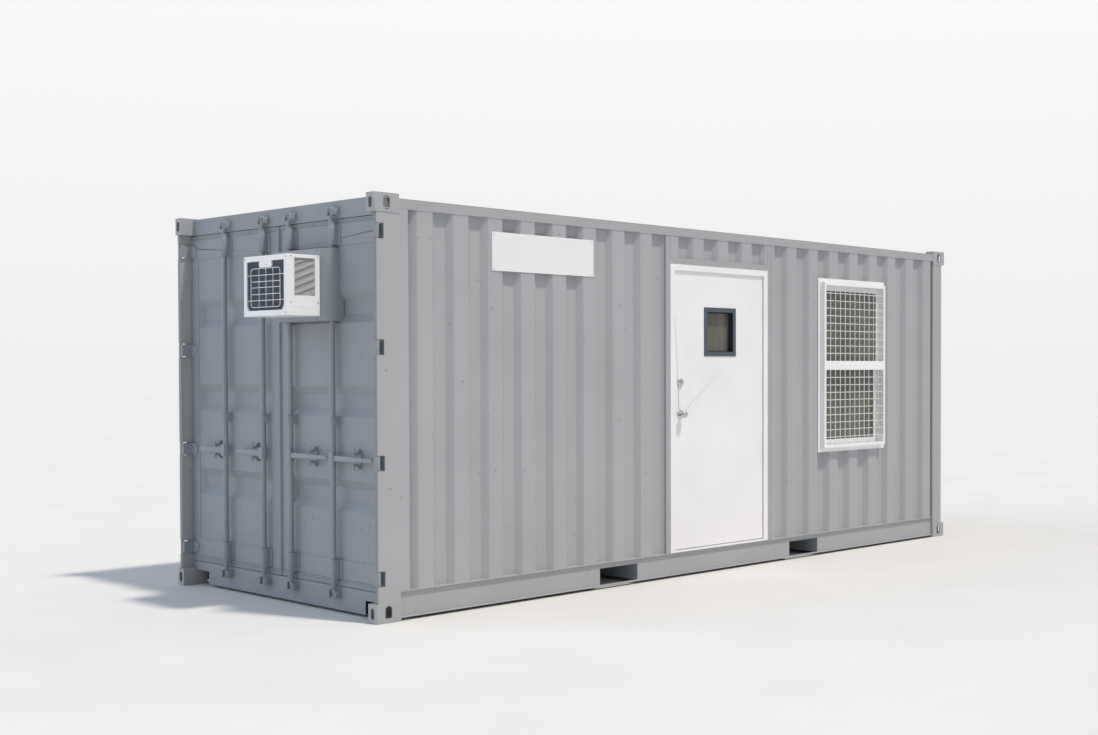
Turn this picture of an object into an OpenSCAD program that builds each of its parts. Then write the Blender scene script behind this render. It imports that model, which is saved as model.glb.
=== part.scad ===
// Shipping container cabin: a corrugated steel container with cargo doors at its -X end,
// a personnel door and a screened window in its -Y wall, and an air conditioner on the right cargo leaf.
// Frame: X along the length, Z up, origin on the ground in the middle of the four corner castings.

/* [Overall] */
// Length over the corner castings
cabin_l = 6058; // [5600:1:12192]
// Width over the corner castings
cabin_w = 2438; // [2300:1:3000]
// Height over the corner castings
cabin_h = 2591; // [2500:1:3000]

/* [Corner castings] */
// Length of a casting along the container
cast_l = 178; // [150:1:200]
// Width of a casting across the container
cast_w = 84; // [80:1:95]
// Height of a casting
cast_h = 118; // [100:1:130]
// Wall thickness of a casting's sides
cast_wall = 9; // [6:1:9]
// Thickness of the face that the twistlock passes through
cast_sole = 28; // [12:1:30]
// Length of the twistlock slot
slot_l = 124; // [100:1:130]
// Width of the twistlock slot
slot_w = 63.5; // [40:0.5:64]
// Distance from a casting's end face to the middle of its twistlock slot
slot_from_end = 102.5; // [80:0.5:104]
// Height of the long hole in a casting's side face
side_hole_h = 86; // [60:1:90]
// Width of the long hole in a casting's side face
side_hole_w = 48; // [30:1:60]
// Height of the long hole in a casting's end face
end_hole_h = 70; // [60:1:90]
// Width of the long hole in a casting's end face
end_hole_w = 38; // [30:1:44]

/* [Frame] */
// How far rails and posts lie inside the castings' side faces
face_inset = 3; // [2:1:6]
// How far the wall crests lie inside the castings' side faces
crest_inset = 6; // [4:1:10]
// Width of a door post along the container
door_post_l = 225; // [200:1:280]
// Distance from the casting's end face to the door post's front edge
door_post_front = 17; // [14:1:19]
// Thickness of the door post beside the leaf
door_post_t = 32; // [26:1:36]
// Depth of the door post's inner channel, across the container
door_post_channel = 116; // [100:1:130]
// Width of a blind-end post along the container
end_post_l = 134; // [110:1:142]
// Distance from the casting's end face to the blind-end post and rails
end_post_back = 44; // [20:1:60]
// Height of the underside of the bottom rails above ground
rail_low = 17; // [12:1:22]
// Height of the top of the bottom side rails above ground
rail_top = 182; // [170:1:200]
// Plate thickness of rails, sill and header
plate_t = 6; // [4:1:8]
// How far the web of a bottom side rail lies inside its flanges' outer edges
web_inset = 17; // [8:1:30]
// Height and width of the top rails
top_rail = 60; // [50:1:70]
// Drop from the castings' top to the top rails
top_rail_drop = 31; // [28:1:40]

/* [Corrugated walls] */
// Pitch of the wall corrugation
corr_pitch = 271; // [240:1:300]
// Width of a crest
corr_crest = 112; // [80:1:120]
// Width of a slope, measured along the wall
corr_slope = 40; // [30:1:50]
// Depth of the corrugation
corr_depth = 36; // [25:1:45]
// Thickness of the wall sheet
sheet_t = 3; // [2:0.5:4]
// Distance from the door post to the first crest
first_crest = 68; // [50:1:80]
// Thickness of insulation and lining board behind the sheet
lining_t = 44; // [30:1:80]
// Thickness of the ceiling panel
ceiling_t = 14; // [8:1:30]
// Drop from the castings' top to the ceiling's underside
ceiling_drop = 151; // [130:1:190]
// Height of a roof rib
roof_rib_h = 18; // [12:1:22]
// Pitch of the roof ribs
roof_rib_pitch = 209; // [180:1:240]

/* [Floor and underframe] */
// Thickness of the floor boards
floor_t = 28; // [20:1:32]
// Pitch of the cross members
cross_pitch = 330; // [280:1:400]
// Flange width of a cross member
cross_w = 45; // [40:1:60]
// Distance between the middles of the forklift pockets
pocket_spacing = 2050; // [1800:1:2100]
// Clear width of a forklift pocket
pocket_w = 360; // [340:1:380]
// Clear height of a forklift pocket
pocket_h = 115; // [100:1:118]

/* [Cargo doors] */
// Distance from the castings' end face to the face of header and sill
head_back = 96; // [90:1:100]
// Distance from the castings' end face to the leaf's face
leaf_back = 100; // [96:1:104]
// Thickness of a leaf
leaf_t = 50; // [40:1:55]
// Height of the sill's top above ground
sill_z = 165; // [150:1:170]
// Height of the header over the cargo doors, from the castings' top
header_h = 121; // [119:1:126]
// Height of the notch in each end of the sill
notch_z = 105; // [100:1:115]
// Length of the notch in each end of the sill, measured from the casting
notch_w = 175; // [120:1:200]
// Width of a leaf's outer stile
stile_out = 84; // [70:1:100]
// Width of a leaf's inner stile
stile_in = 96; // [80:1:110]
// Height of a leaf's top rail
leaf_rail_top = 138; // [120:1:150]
// Height of a leaf's bottom rail
leaf_rail_low = 122; // [100:1:140]
// Width of the door seal above and below a leaf
seal_w = 26; // [20:1:36]
// Width of the door seal on a leaf's upright edges
seal_side = 15; // [10:1:16]
// Running clearance around a moving piece
gap = 5; // [5:0.5:6]
// Depth of a pressed band in a leaf
band_depth = 34; // [20:1:36]
// Height of a pressed band
band_h = 194; // [160:1:210]
// Height of a band's sloped side
band_slope = 54; // [40:1:60]
// Height of the lowest band's middle above ground
band_low_z = 740; // [700:1:780]
// Distance between the middles of neighbouring bands
band_pitch = 588; // [540:1:620]

/* [Cargo door hinges] */
// Distance from the castings' end face to a hinge pin
pin_back = 28; // [26:1:30]
// Distance from the castings' side face to a hinge pin
pin_inset = 15; // [14:1:16]
// Radius of a hinge pin
pin_r = 7; // [6:0.5:8]
// Outer radius of a hinge knuckle
knuckle_r = 12; // [10:0.5:12.5]
// Radial clearance of a hinge pin
pin_play = 0.3; // [0.2:0.05:0.5]
// Height of a hinge blade
blade_h = 84; // [60:1:100]
// Thickness of a hinge blade
blade_t = 10; // [8:1:12]
// Reach of a hinge blade on the leaf
blade_reach = 78; // [60:1:100]
// Rise from the leaf's lower edge to the lowest hinge's middle
hinge_rise = 54; // [50:1:80]
// Drop from the leaf's upper edge to the highest hinge's middle
hinge_drop = 79; // [50:1:100]

/* [Lock rods] */
// Radius of a lock rod
rod_r = 17; // [13:0.5:18]
// Distance from the castings' end face to a rod's axis
rod_back = 66; // [66:1:70]
// Distance from the middle of the opening to the inner rods
rod_in = 168; // [150:1:190]
// Distance from the middle of the opening to the outer rods
rod_out = 661; // [620:1:700]
// Radial clearance of a rod in its guides
rod_play = 0.4; // [0.3:0.05:0.6]
// Wall of a rod guide
guide_wall = 6; // [4:1:7]
// Height of the long guides near a rod's ends
guide_l = 124; // [100:1:130]
// Reach of a long guide's foot on each side
guide_foot = 26; // [10:1:26]
// Height of the middle guide
guide_mid_l = 48; // [40:1:60]
// Height of the middle guide's centre above ground
guide_mid_z = 1205; // [1150:1:1250]
// Radius of a cam
cam_r = 20; // [18:0.5:20]
// Height of a cam
cam_h = 56; // [40:1:60]
// Thickness of a keeper's back plate
keeper_t = 4; // [3:0.5:5]
// Height of the handles above ground
handle_z = 974; // [900:1:1050]
// Length of a handle on the left leaf, from the rod's axis
handle_left = 330; // [250:1:400]
// Length of a handle on the right leaf, from the rod's axis
handle_right = 440; // [300:1:450]
// Height of a handle bar
handle_h = 34; // [25:1:40]
// Thickness of a handle bar
handle_t = 9; // [6:1:12]

/* [Air conditioner] */
// Width of the air conditioner
ac_w = 521; // [440:1:560]
// Height of the air conditioner
ac_h = 376; // [320:1:400]
// Reach of the air conditioner in front of its housing
ac_d = 226; // [180:1:260]
// Height of the air conditioner's underside above ground
ac_z = 1862; // [1850:1:1880]
// Distance from the middle of the opening to the air conditioner's middle
ac_y = 371; // [360:1:380]
// Distance from the middle of the opening to the housing's middle
housing_y = 380; // [376:1:384]
// Width of the steel housing behind it
housing_w = 620; // [612:1:640]
// Height of the steel housing
housing_h = 452; // [440:1:456]
// Height of the housing's underside above ground
housing_z = 1832; // [1828:1:1836]
// Sheet thickness of the housing
housing_t = 4; // [3:1:6]
// Radius of the housing's rounded upright corner
housing_round = 80; // [60:1:82]
// Lap of the air conditioner over the rim of its opening
ac_lap = 10; // [6:1:14]
// Reach of the air conditioner inside the leaf
ac_inner = 110; // [80:1:150]

/* [Personnel door] */
// Distance from the container's middle to the left edge of the door frame
door_left = -522; // [-600:1:-480]
// Width of the door frame
door_w = 1082; // [1000:1:1100]
// Height of the door frame's head above ground
door_top = 2297; // [2200:1:2320]
// Width of the steel member round the doorway
surround_w = 45; // [40:1:60]
// Width of the door frame's face
door_face = 46; // [40:1:60]
// Width of the jamb behind the stop
jamb_w = 30; // [24:1:34]
// Thickness of the stop
stop_t = 8; // [6:1:12]
// How far the door frame stands proud of the wall crests
door_proud = 3; // [2:1:6]
// Thickness of the leaf
door_t = 44; // [38:1:50]
// Gap between the leaf's free edge and the jamb
door_gap = 8; // [7:1:10]
// Height of the threshold
threshold_h = 14; // [8:1:20]
// Width of the vision panel's frame
lite_w = 352; // [300:1:400]
// Height of the vision panel's frame
lite_h = 366; // [300:1:400]
// Width of the vision panel frame's face
lite_face = 33; // [25:1:40]
// Height of the vision panel's middle above ground
lite_z = 1808; // [1750:1:1850]
// Height of a butt hinge
butt_h = 90; // [70:1:120]
// Radius of a butt hinge's barrel
butt_r = 6; // [5:0.5:7]
// Distance from the leaf's free edge to the lock
backset = 72; // [60:1:80]
// Height of the knob above ground
knob_z = 1196; // [1100:1:1250]
// Height of the deadbolt above the knob
bolt_rise = 234; // [150:1:260]
// Radius of the knob
knob_r = 26; // [22:0.5:30]
// Radius of the rose behind the knob
rose_r = 31; // [28:0.5:34]

/* [Window] */
// Distance from the container's middle to the window's middle
window_x = 1643; // [1600:1:1680]
// Width of the window over its flange
window_w = 908; // [800:1:940]
// Height of the window over its flange
window_h = 1431; // [1200:1:1440]
// Height of the flange's lower edge above ground
window_z = 843; // [800:1:900]
// Width of the flange round the window box
flange_w = 34; // [25:1:45]
// Thickness of the flange
flange_t = 6; // [4:1:8]
// How far the window box stands out from the wall crests
window_out = 46; // [30:1:60]
// Wall of the window box
box_t = 25; // [20:1:30]
// Height of the screen's middle rail
mid_rail_h = 75; // [60:1:90]
// Height of the middle rail's centre above ground
mid_rail_z = 1557; // [1500:1:1600]
// Width of a sash member
sash_w = 42; // [35:1:50]
// Thickness of the glass
glass_t = 6; // [4:1:8]

/* [Sign board] */
// Width of the sign board
sign_w = 875; // [600:1:1000]
// Height of the sign board
sign_h = 250; // [200:1:300]
// Thickness of the sign board
sign_t = 5; // [3:1:6]
// Distance from the container's middle to the sign's left edge
sign_left = -2150; // [-2300:1:-2000]
// Height of the sign's lower edge above ground
sign_z = 2164; // [2100:1:2200]

/* [Hidden] */
$fn = 48;

wall_grey = "#A6A9AC";
end_grey = "#8A939C";
white_paint = "#EBEBED";
dark_steel = "#3C4652";

// A cut runs this far past the face that it opens
over = 1;
// Clearance that keeps a seated piece off a sheet that isn't welded to it
seat = 0.3;

half_l = cabin_l / 2;
half_w = cabin_w / 2;
face_y = half_w - face_inset;
crest_y = half_w - crest_inset;
sheet_in = crest_y - corr_depth - sheet_t;
end_post_t = face_y - sheet_in;
floor_z = rail_top;
lining_in = sheet_in - lining_t;
door_post_end = -half_l + door_post_front + door_post_l;
blind_x = half_l - end_post_back;
end_post_x = blind_x - end_post_l;
top_rail_z = cabin_h - top_rail_drop - top_rail;
roof_z = top_rail_z + top_rail;
post_in = face_y - door_post_t;

header_z = cabin_h - header_h;
ceiling_z = cabin_h - ceiling_drop;
head_x = -half_l + head_back;
leaf_x = -half_l + leaf_back;
leaf_back_x = leaf_x + leaf_t;
leaf_low = sill_z + gap + seal_w + 16;
leaf_high = header_z - gap - seal_w;
leaf_edge = post_in - gap - seal_side + 4;
seam_half = 7;
leaf_free = seam_half + seal_side;
panel_low = leaf_low + leaf_rail_low;
panel_high = leaf_high - leaf_rail_top;
panel_t = 4;
panel_recess = 4;
panel_x = leaf_x + panel_recess;
pin_x = -half_l + pin_back;
pin_y = half_w - pin_inset;
blade_leg_y = post_in - gap - blade_t;
rod_x = -half_l + rod_back;
cam_low_z = 92;
cam_high_z = header_z + 16;
rod_low = cam_low_z;
rod_high = cam_high_z + cam_h;
guide_low_z = leaf_low + 2;
guide_high_z = leaf_high - guide_l - 10;
foot_t = 6;
catch_h = 134;

door_right = door_left + door_w;
frame_y = crest_y + door_proud;
stop_y = frame_y - stop_t;
leaf_face = stop_y - gap;
leaf_inside = leaf_face - door_t;
lite_proud = 5;
lite_lap = 12;
butt_leaf_w = 26;
butt_leaf_t = 3;
butt_reach = 38;
butt_gap = 0.5;
door_free = door_left + jamb_w + door_gap;
door_hinge = door_right - jamb_w - gap;
door_low = rail_top + threshold_h + gap;
door_high = door_top - jamb_w - gap;
door_pin_x = door_hinge - 3;
door_pin_y = leaf_inside - butt_r - 2;
butt_pin_r = butt_r / 2;
butt_zs = [door_low + 230, (door_low + door_high) / 2, door_high - 230];
lite_x = (door_free + door_hinge) / 2;
lock_x = door_free + backset;
rose_t = 7;
spindle_r = 10;

window_left = window_x - window_w / 2 + flange_w;
window_right = window_x + window_w / 2 - flange_w;
window_low = window_z + flange_w;
window_high = window_z + window_h - flange_w;
window_front = crest_y + window_out;
sash_y = crest_y - 8;
sash_t = 34;

pocket_z = rail_low + plate_t + 3;
cross_top = floor_z - floor_t;
crest_x0 = door_post_end + first_crest;
blind_in = blind_x - corr_depth - sheet_t;
rail_in = sheet_in;
web_y = face_y - web_inset;
end_lining_in = blind_in - lining_t;

// Depth of the corrugation at a place along the wall
function corr_at(x) =
    let (p = (x % corr_pitch + corr_pitch) % corr_pitch)
    p < corr_crest ? 0 :
    p < corr_crest + corr_slope ? corr_depth * (p - corr_crest) / corr_slope :
    p < corr_pitch - corr_slope ? corr_depth :
    corr_depth * (corr_pitch - p) / corr_slope;

// Corners of the corrugation between two places along the wall
function corr_line(a, b) = concat(
    [[a, corr_at(a)]],
    [for (k = [floor(a / corr_pitch) : ceil(b / corr_pitch)])
        for (s = [0, corr_crest, corr_crest + corr_slope, corr_pitch - corr_slope])
            let (x = k * corr_pitch + s)
            if (x > a + 1 && x < b - 1) [x, corr_at(x)]],
    [[b, corr_at(b)]]
);

function reversed(list) = [for (i = [len(list) - 1 : -1 : 0]) list[i]];

module both_sides() {
    children();
    mirror([0, 1, 0]) children();
}

// A box between two corners
module block(low, high) {
    translate(low) cube(high - low);
}

// A slot with round ends: its long side along the first axis, standing along Z
module slot(l, w, h) {
    linear_extrude(h) {
        square([l - w, w], center = true);
        translate([(w - l) / 2, 0]) circle(d = w);
        translate([(l - w) / 2, 0]) circle(d = w);
    }
}

// Corrugated sheet from a to b, with its crests on y = 0 and its troughs towards +y
module corrugated(a, b, low, high, phase) {
    line = corr_line(a - phase, b - phase);
    back = [for (p = line) [p[0], p[1] + sheet_t]];
    translate([phase, 0, low]) linear_extrude(high - low) polygon(concat(line, reversed(back)));
}

// One casting in the -X, -Y bottom corner, with its outer corner at the origin
module casting() {
    difference() {
        linear_extrude(cast_h) intersection() {
            square([cast_l, cast_w]);
            union() {
                translate([10, 0]) square([cast_l, cast_w]);
                translate([0, 10]) square([cast_l, cast_w]);
                translate([10, 10]) circle(r = 10);
            }
        }
        block([cast_wall, cast_wall, cast_sole], [cast_l - cast_wall, cast_w - cast_wall, cast_h - cast_wall]);
        translate([slot_from_end, cast_w / 2, -over]) slot(slot_l, slot_w, cast_sole + 2 * over);
        translate([cast_l / 2, cast_wall + over, cast_h / 2])
            rotate([90, 90, 0]) slot(side_hole_h, side_hole_w, cast_wall + 2 * over);
        translate([-over, cast_w / 2, cast_h / 2])
            rotate([0, 90, 0]) slot(end_hole_h, end_hole_w, cast_wall + 2 * over);
    }
}

module corner_castings() {
    color(wall_grey)
    for (mx = [0, 1]) for (my = [0, 1]) for (mz = [0, 1])
        translate([0, 0, cabin_h / 2])
        mirror([mx, 0, 0]) mirror([0, my, 0]) mirror([0, 0, mz])
        translate([-half_l, -half_w, -cabin_h / 2]) casting();
}

// Heights of the cargo door hinges' middles
hinge_pitch = (leaf_high - hinge_drop - leaf_low - hinge_rise) / 3;
hinge_zs = [for (i = [0 : 3]) leaf_low + hinge_rise + i * hinge_pitch];

// Door post of the +Y side
module door_post() {
    front = -half_l + door_post_front;
    channel_x = leaf_back_x + 12;
    difference() {
        union() {
            block([front, post_in, cast_h], [-half_l + cast_l, face_y, cabin_h - cast_h]);
            block([-half_l + cast_l, post_in, rail_top], [door_post_end, face_y, top_rail_z]);
            block([channel_x, face_y - door_post_channel, rail_top], [door_post_end, face_y, header_z]);
        }
        for (z = hinge_zs)
            block([front - over, post_in - over, z - blade_h / 2 - gap],
                  [pin_x + pin_y - blade_leg_y + gap, half_w, z + blade_h / 2 + gap]);
    }
    for (z = hinge_zs)
        translate([pin_x, pin_y, z - blade_h / 2 - gap]) cylinder(r = pin_r, h = blade_h + 2 * gap);
}

module door_posts() {
    color(wall_grey) both_sides() door_post();
}

module blind_end_posts() {
    color(wall_grey) both_sides()
        block([end_post_x, face_y - end_post_t, cast_h], [blind_x, face_y, cabin_h - cast_h]);
}

module door_header() {
    color(end_grey) difference() {
        block([head_x, cast_w - half_w, header_z], [-half_l + cast_l, half_w - cast_w, cabin_h - 8]);
        block([head_x + plate_t, cast_w - half_w - over, header_z + plate_t],
              [-half_l + cast_l - plate_t, half_w - cast_w + over, cabin_h - 8 - plate_t]);
    }
}

module door_sill() {
    inner = half_w - cast_w;
    color(end_grey) difference() {
        union() {
            block([head_x, -inner, rail_low], [-half_l + cast_l, inner, sill_z]);
            block([head_x, -post_in, cast_h], [-half_l + cast_l, post_in, sill_z]);
        }
        block([head_x + plate_t, -half_w, rail_low + plate_t],
              [-half_l + cast_l + over, half_w, sill_z - plate_t]);
        both_sides() block([head_x - over, inner - notch_w, rail_low - over],
                           [-half_l + cast_l + over, inner + over, notch_z]);
    }
}

// Keeper of one cam, on the header or the sill
module keeper(y, z) {
    lug_t = 8;
    lug_in = cam_r + 2 * gap;
    plate_x = head_x - keeper_t;
    block([plate_x, y - lug_in - lug_t, z + 2], [head_x, y + lug_in + lug_t, z + cam_h - 2]);
    for (s = [-1, 1]) translate([0, y + s * (lug_in + lug_t / 2), 0])
        block([rod_x - 10, -lug_t / 2, z + 8], [plate_x, lug_t / 2, z + cam_h - 8]);
}

module cam_keepers() {
    color(end_grey) for (y = [-rod_out, -rod_in, rod_in, rod_out]) {
        keeper(y, cam_low_z);
        keeper(y, cam_high_z);
    }
}

module bottom_side_rail() {
    a = -half_l + cast_l;
    difference() {
        union() {
            block([a, web_y - plate_t, rail_low], [-a, web_y, rail_top]);
            block([a, rail_in, rail_top - plate_t], [-a, face_y, rail_top]);
            block([a, rail_in, rail_low], [-a, face_y, rail_low + plate_t]);
        }
        for (s = [-1, 1]) translate([s * pocket_spacing / 2, 0, 0])
            block([-pocket_w / 2, web_y - plate_t - over, pocket_z],
                  [pocket_w / 2, face_y + over, pocket_z + pocket_h]);
    }
}

module bottom_side_rails() {
    color(wall_grey) both_sides() bottom_side_rail();
}

module top_side_rails() {
    a = -half_l + cast_l;
    color(wall_grey) both_sides() difference() {
        block([a, face_y - top_rail, top_rail_z], [-a, face_y, roof_z]);
        block([a - over, face_y - top_rail + plate_t, top_rail_z + plate_t],
              [-a + over, face_y - plate_t, roof_z - plate_t]);
    }
}

module blind_end_rails() {
    w = half_w - cast_w;
    color(wall_grey) {
        difference() {
            block([blind_x - top_rail, -w, top_rail_z], [blind_x, w, roof_z]);
            block([blind_x - top_rail + plate_t, -w - over, top_rail_z + plate_t],
                  [blind_x - plate_t, w + over, roof_z - plate_t]);
        }
        difference() {
            block([blind_in, -w, rail_low], [blind_x, w, rail_top]);
            block([blind_in - over, -w - over, rail_low + plate_t],
                  [blind_x - plate_t, w + over, rail_top - plate_t]);
        }
    }
}

// Places of the cross members along the container, clear of the forklift pockets
cross_first = -half_l + cast_l + 90;
cross_last = -cross_first;
cross_xs = [for (x = [cross_first : cross_pitch : cross_last])
    if (min([for (s = [-1, 1]) abs(x - s * pocket_spacing / 2)]) > pocket_w / 2 + plate_t + cross_w / 2) x];

module cross_members() {
    w = web_y - plate_t;
    color(end_grey) for (x = cross_xs) difference() {
        block([x - cross_w / 2, -w, rail_low + plate_t], [x + cross_w / 2, w, cross_top]);
        block([x - cross_w / 2 + plate_t, -w - over, rail_low + 2 * plate_t],
              [x + cross_w / 2 + over, w + over, cross_top - plate_t]);
    }
}

module forklift_pockets() {
    w = web_y - plate_t;
    color(end_grey) for (s = [-1, 1]) translate([s * pocket_spacing / 2, 0, 0]) {
        for (side = [-1, 1]) translate([side * (pocket_w + plate_t) / 2, 0, 0])
            block([-plate_t / 2, -w, rail_low + plate_t], [plate_t / 2, w, cross_top]);
        block([-pocket_w / 2, -w, pocket_z + pocket_h], [pocket_w / 2, w, cross_top]);
    }
}

module floor_boards() {
    color("#8C6F4E")
        block([-half_l + cast_l, -rail_in, cross_top], [blind_in, rail_in, floor_z]);
}

module roof_panel() {
    w = face_y;
    a = -half_l + cast_l;
    ribs = floor((2 * half_l - 2 * cast_l - 160) / roof_rib_pitch);
    rib_w = 110;
    color(end_grey) {
        block([a, -w, roof_z], [-a, w, roof_z + sheet_t]);
        block([-a - over, cast_w - half_w, roof_z], [blind_x, half_w - cast_w, roof_z + sheet_t]);
        for (i = [0 : ribs]) translate([(i - ribs / 2) * roof_rib_pitch, 0, roof_z + sheet_t])
            intersection() {
                rotate([90, 0, 0]) linear_extrude(2 * w, center = true)
                    polygon([[-rib_w / 2, 0], [rib_w / 2, 0], [rib_w / 2 - 28, roof_rib_h],
                             [28 - rib_w / 2, roof_rib_h]]);
                rotate([90, 0, 90]) linear_extrude(rib_w, center = true)
                    polygon([[90 - w, 0], [w - 90, 0], [w - 130, roof_rib_h], [130 - w, roof_rib_h]]);
            }
    }
}

// Corrugated sheet of the -Y wall between two places
module front_sheet(a, b, low, high) {
    translate([0, -crest_y, 0]) corrugated(a, b, low, high, crest_x0);
}

module rear_wall() {
    color(wall_grey) mirror([0, 1, 0]) front_sheet(door_post_end, end_post_x, rail_top, top_rail_z);
}

module blind_end_wall() {
    w = face_y - end_post_t;
    phase = -corr_crest / 2;
    color(wall_grey) difference() {
        translate([blind_x, 0, 0]) rotate([0, 0, 90]) corrugated(-w, w, rail_top, top_rail_z, phase);
        both_sides() block([blind_in - over, half_w - cast_w, cabin_h - cast_h], [half_l, half_w, cabin_h]);
    }
}

module front_wall_left() {
    color(wall_grey) front_sheet(door_post_end, door_left - surround_w, rail_top, top_rail_z);
}

module front_wall_over_door() {
    color(wall_grey) front_sheet(door_left, door_right, door_top + surround_w, top_rail_z);
}

module front_wall_right() {
    color(wall_grey) difference() {
        front_sheet(door_right + surround_w, end_post_x, rail_top, top_rail_z);
        block([window_left, -half_w, window_low], [window_right, -sheet_in + over, window_high]);
    }
}

module doorway_surround() {
    y0 = -crest_y;
    y1 = -sheet_in;
    color(wall_grey) {
        block([door_left - surround_w, y0, rail_top], [door_left, y1, top_rail_z]);
        block([door_right, y0, rail_top], [door_right + surround_w, y1, top_rail_z]);
        block([door_left, y0, door_top], [door_right, y1, door_top + surround_w]);
    }
}

lining_low = floor_z;
lining_high = ceiling_z + ceiling_t;
lining_a = door_post_end;

module front_lining_left() {
    color("#B9B3A6") block([lining_a, -sheet_in, lining_low], [door_left, -lining_in, lining_high]);
}

module front_lining_over_door() {
    color("#B9B3A6") block([door_left, -sheet_in, door_top], [door_right, -lining_in, lining_high]);
}

module front_lining_right() {
    color("#B9B3A6") difference() {
        block([door_right, -sheet_in, lining_low], [blind_in, -lining_in, lining_high]);
        block([window_left, -sheet_in - over, window_low], [window_right, -lining_in + over, window_high]);
    }
}

module rear_lining() {
    color("#B9B3A6") block([lining_a, lining_in, lining_low], [blind_in, sheet_in, lining_high]);
}

module blind_end_lining() {
    color("#B9B3A6") block([end_lining_in, -lining_in, lining_low], [blind_in, lining_in, lining_high]);
}

module ceiling_panel() {
    color("#C9C6BD") block([lining_a, -lining_in, ceiling_z], [end_lining_in, lining_in, lining_high]);
}

module door_frame() {
    inner = -lining_in;
    color(white_paint) difference() {
        block([door_left, -frame_y, rail_top], [door_right, inner, door_top]);
        block([door_left + door_face, -frame_y - over, rail_top + threshold_h],
              [door_right - door_face, inner + over, door_top - door_face]);
        block([door_left + jamb_w, -stop_y, rail_top + threshold_h],
              [door_right - jamb_w, inner + over, door_top - jamb_w]);
    }
}

// Window box with its flange against the wall, the screen's middle rail and a deep jamb to the lining
module window_frame() {
    color(white_paint) difference() {
        union() {
            block([window_left, -window_front, window_low], [window_right, -lining_in, window_high]);
            block([window_left - flange_w, -crest_y - flange_t, window_low - flange_w],
                  [window_right + flange_w, -crest_y, window_high + flange_w]);
        }
        for (z = [window_low + box_t, mid_rail_z + mid_rail_h / 2])
            block([window_left + box_t, -window_front - over, z],
                  [window_right - box_t, -sash_y, z < mid_rail_z ? mid_rail_z - mid_rail_h / 2
                                                                 : window_high - box_t]);
        block([window_left + box_t, -window_front + 24, window_low + box_t],
              [window_right - box_t, -lining_in + over, window_high - box_t]);
    }
}

// A rectangular ring that stands in the window box
module sash(low, high, y) {
    a = window_left + box_t;
    b = window_right - box_t;
    difference() {
        block([a, y, low], [b, y + sash_t / 2, high]);
        block([a + sash_w, y - over, low + sash_w], [b - sash_w, y + sash_t / 2 + over, high - sash_w]);
    }
}

module window_sashes() {
    color(white_paint) {
        sash(mid_rail_z - sash_w / 2, window_high - box_t, -sash_y);
        sash(window_low + box_t, mid_rail_z + sash_w / 2, -sash_y + sash_t / 2);
    }
}

module window_glass() {
    a = window_left + box_t + sash_w;
    b = window_right - box_t - sash_w;
    y0 = -sash_y + (sash_t / 2 - glass_t) / 2;
    y1 = y0 + sash_t / 2;
    color([0.42, 0.45, 0.44, 0.5]) {
        block([a, y0, mid_rail_z + sash_w / 2], [b, y0 + glass_t, window_high - box_t - sash_w]);
        block([a, y1, window_low + box_t + sash_w], [b, y1 + glass_t, mid_rail_z - sash_w / 2]);
    }
}

module sign_board() {
    color("#E4E6E8") block([sign_left, -crest_y - sign_t, sign_z],
                           [sign_left + sign_w, -crest_y, sign_z + sign_h]);
}

module door_leaf() {
    color(white_paint) difference() {
        block([door_free, -leaf_face, door_low], [door_hinge, -leaf_inside, door_high]);
        block([lite_x - lite_w / 2 + lite_lap, -leaf_face - over, lite_z - lite_h / 2 + lite_lap],
              [lite_x + lite_w / 2 - lite_lap, -leaf_inside + over, lite_z + lite_h / 2 - lite_lap]);
        translate([lock_x, -leaf_face - over, knob_z]) rotate([-90, 0, 0])
            cylinder(r = spindle_r + 4, h = door_t + 2 * over);
    }
}

// Barrel of a butt hinge between two heights
module butt_barrel(low, high) {
    translate([door_pin_x, -door_pin_y, low]) cylinder(r = butt_r, h = high - low);
}

// Fixed halves of the butt hinges, with their pins, on the inner side of the jamb
module door_hinges() {
    jamb_x = door_right - jamb_w;
    third = butt_h / 6;
    color("silver") for (z = butt_zs) {
        for (s = [-1, 1]) {
            butt_barrel(z + s * 2 * third - third, z + s * 2 * third + third);
            block([door_pin_x, -door_pin_y, z + s * 2 * third - third],
                  [jamb_x, -door_pin_y + butt_r - 1, z + s * 2 * third + third]);
        }
        translate([door_pin_x, -door_pin_y, z - 2 * third]) cylinder(r = butt_pin_r, h = 4 * third);
    }
}

// Moving halves of the butt hinges, on the leaf's inner face
module door_hinge_leaves() {
    third = butt_h / 6;
    color("silver") for (z = butt_zs) difference() {
        union() {
            butt_barrel(z - third + butt_gap, z + third - butt_gap);
            block([door_hinge - butt_reach, -leaf_inside, z - third + butt_gap],
                  [door_pin_x, -door_pin_y, z + third - butt_gap]);
            block([door_hinge - butt_reach, -leaf_inside, z - butt_h / 2],
                  [door_hinge - butt_reach + butt_leaf_w, -leaf_inside + butt_leaf_t, z + butt_h / 2]);
        }
        translate([door_pin_x, -door_pin_y, z - third])
            cylinder(r = butt_pin_r + pin_play, h = 2 * third);
    }
}

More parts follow.
